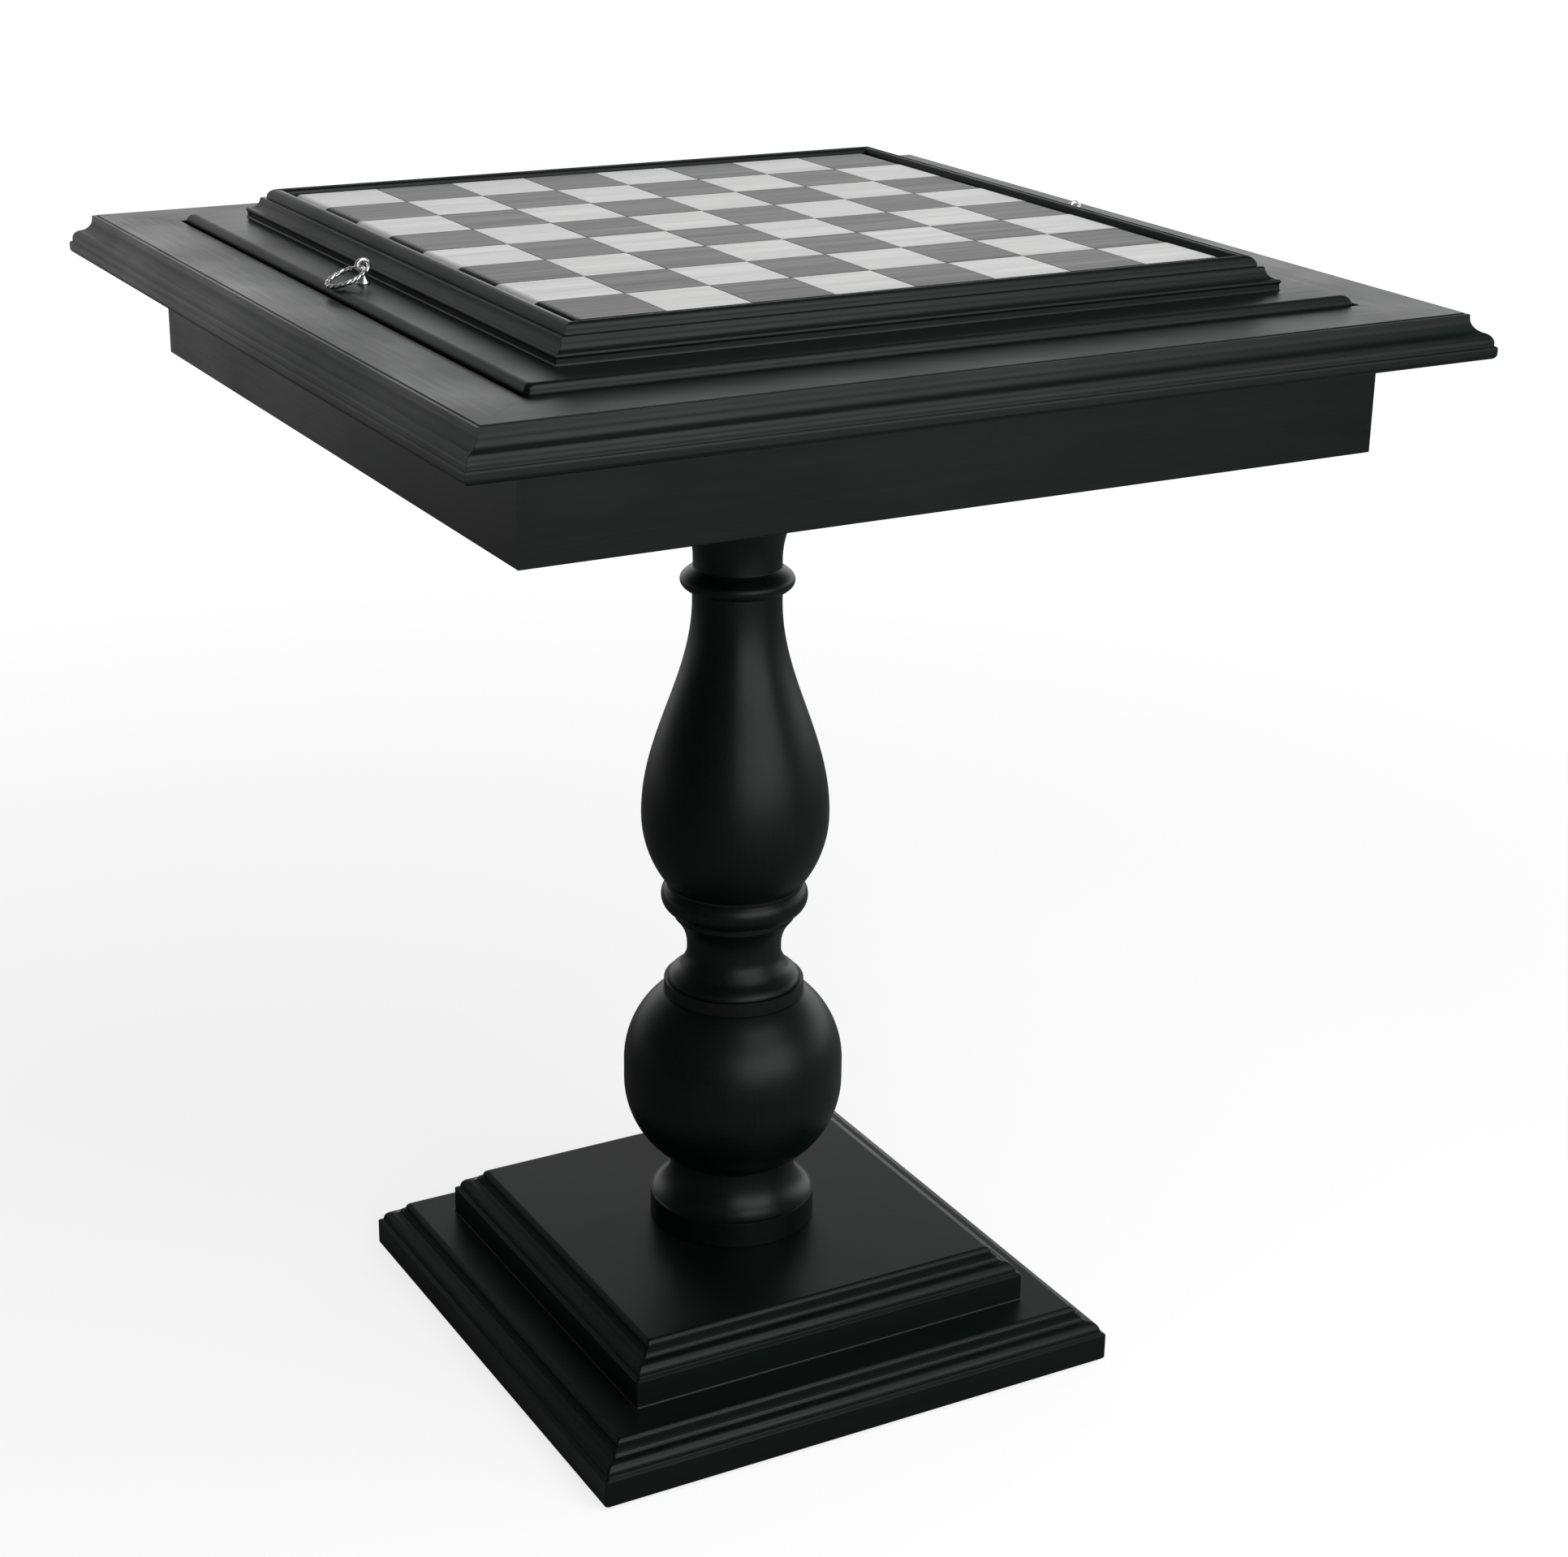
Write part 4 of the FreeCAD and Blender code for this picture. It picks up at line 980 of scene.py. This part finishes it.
def pale_floor(tree, stage):
    """Matt floor.  It is lifted towards white where the camera sees it, less so within the
    table's shadow, and where a reflection sees the part of it that lies behind the table."""
    shadow_start, shadow_end = 0.7, 2.4
    behind_start, behind_end = 1.2, 5.0
    place = node(tree, "ShaderNodeTexCoord").outputs["Object"]
    parts = node(tree, "ShaderNodeSeparateXYZ", {"Vector": place})
    behind = faded(tree, parts.outputs["Y"], behind_start, behind_end)
    distance = node(tree, "ShaderNodeVectorMath", {0: place}, operation="LENGTH")
    far = faded(tree, distance.outputs["Value"], shadow_start, shadow_end)
    level = ranged(tree, far, stage.floor_lift_near, stage.floor_lift, 0.0, 1.0)
    wire(tree, tree.nodes["Principled BSDF"],
         {"Base Color": (*stage.floor_colour, 1), "Roughness": 0.9, "Specular IOR Level": 0.1,
          "Emission Color": (1, 1, 1, 1),
          "Emission Strength": maths(tree, "MULTIPLY", seen_rays(tree, behind), level)})


def direct_rays(tree, path):
    """1 for rays from the camera and through glass."""
    return maths(tree, "MAXIMUM", path["Is Camera Ray"], path["Is Transmission Ray"])


def seen_rays(tree, mirrored):
    """1 for rays from the camera and through glass, the given share for reflections."""
    path = node(tree, "ShaderNodeLightPath").outputs
    reflected = maths(tree, "MULTIPLY", path["Is Glossy Ray"], mirrored)
    return maths(tree, "MAXIMUM", direct_rays(tree, path), reflected)


def hang_backdrop(stage):
    """World light: a pale backdrop that stands behind the table, fades towards both sides and
    upwards, and leaves a dim room; plain white to the camera."""
    top_dim, top_full = math.radians(28), math.radians(15)
    side_dim, side_full = math.radians(88), math.radians(18)
    turn = math.radians(stage.backdrop_azimuth)
    world = bpy.data.worlds.new("studio")
    bpy.context.scene.world = world
    world.use_nodes = True
    tree = world.node_tree
    place = node(tree, "ShaderNodeTexCoord").outputs["Generated"]
    parts = node(tree, "ShaderNodeSeparateXYZ", {"Vector": place})
    facing = node(tree, "ShaderNodeVectorMath",
                  {0: place, 1: (math.cos(turn), math.sin(turn), 0)}, operation="DOT_PRODUCT")
    low_part = faded(tree, parts.outputs["Z"], math.sin(top_dim), math.sin(top_full))
    side_part = faded(tree, facing.outputs["Value"], math.cos(side_dim), math.cos(side_full))
    share = maths(tree, "MULTIPLY", low_part, side_part)
    level = ranged(tree, share, stage.room_level, stage.backdrop_level, 0.0, 1.0)
    direct = direct_rays(tree, node(tree, "ShaderNodeLightPath").outputs)
    seen = node(tree, "ShaderNodeMix", {"Factor": direct, "A": level, "B": 1.0},
                data_type="FLOAT")
    wire(tree, tree.nodes["Background"],
         {"Color": (1, 1, 1, 1), "Strength": seen.outputs["Result"]})


def add_softbox(name, place, size, power, target=(0, 0, 0.4)):
    """Rectangular lamp that faces the target.  The camera doesn't see it."""
    light = bpy.data.lights.new(name, "AREA")
    light.shape = "RECTANGLE"
    light.size, light.size_y = size
    light.energy = power
    lamp = add_object(name, light)
    lamp.location = place
    lamp.visible_camera = False
    lamp.rotation_euler = (Vector(place) - Vector(target)).to_track_quat("Z", "Y").to_euler()


def place_camera(stage):
    data = bpy.data.cameras.new("camera")
    data.sensor_width = 36.0
    data.sensor_fit = "HORIZONTAL"
    data.lens = stage.focal_length
    data.shift_x, data.shift_y = stage.lens_shift
    camera = add_object("camera", data)
    camera.location = stage.camera_place
    camera.rotation_euler = stage.camera_turn
    bpy.context.scene.camera = camera


# --- Add-on layout ---
class VIEW3D_PT_games_table(bpy.types.Panel):
    """Lists the settings and the builders of the games table"""
    bl_idname = "VIEW3D_PT_games_table"
    bl_label = "Games table"
    bl_space_type = "VIEW_3D"
    bl_region_type = "UI"
    bl_category = "Games table"

    def draw(self, context):
        for owner in settings:
            group = getattr(context.scene, owner)
            box = self.layout.box()
            for name in group.bl_rna.properties.keys():
                if name not in ("rna_type", "name"):
                    box.prop(group, name)
        for operator in operators:
            self.layout.operator(operator.bl_idname)


settings = {
    "games_finish": FinishSettings,
    "games_board": BoardSettings,
    "games_joinery": JoinerySettings,
    "games_stage": StageSettings,
}
operators = (
    OBJECT_OT_games_base,
    OBJECT_OT_games_column,
    OBJECT_OT_games_top_frame,
    OBJECT_OT_games_board_frame,
    OBJECT_OT_games_lid,
    OBJECT_OT_games_board,
    OBJECT_OT_games_pulls,
    OBJECT_OT_games_joinery,
    OBJECT_OT_games_stage,
)
classes = (*settings.values(), *operators, VIEW3D_PT_games_table)


def register():
    for item in classes:
        bpy.utils.register_class(item)
    for name, kind in settings.items():
        setattr(bpy.types.Scene, name, bpy.props.PointerProperty(type=kind))


def unregister():
    for name in settings:
        delattr(bpy.types.Scene, name)
    for item in reversed(classes):
        bpy.utils.unregister_class(item)


def plain(box):
    return [[float(value) for value in point] for point in box]


def main():
    register()
    for operator in operators:
        group, name = operator.bl_idname.split(".")
        getattr(getattr(bpy.ops, group), name)()


if __name__ == "__main__":
    main()
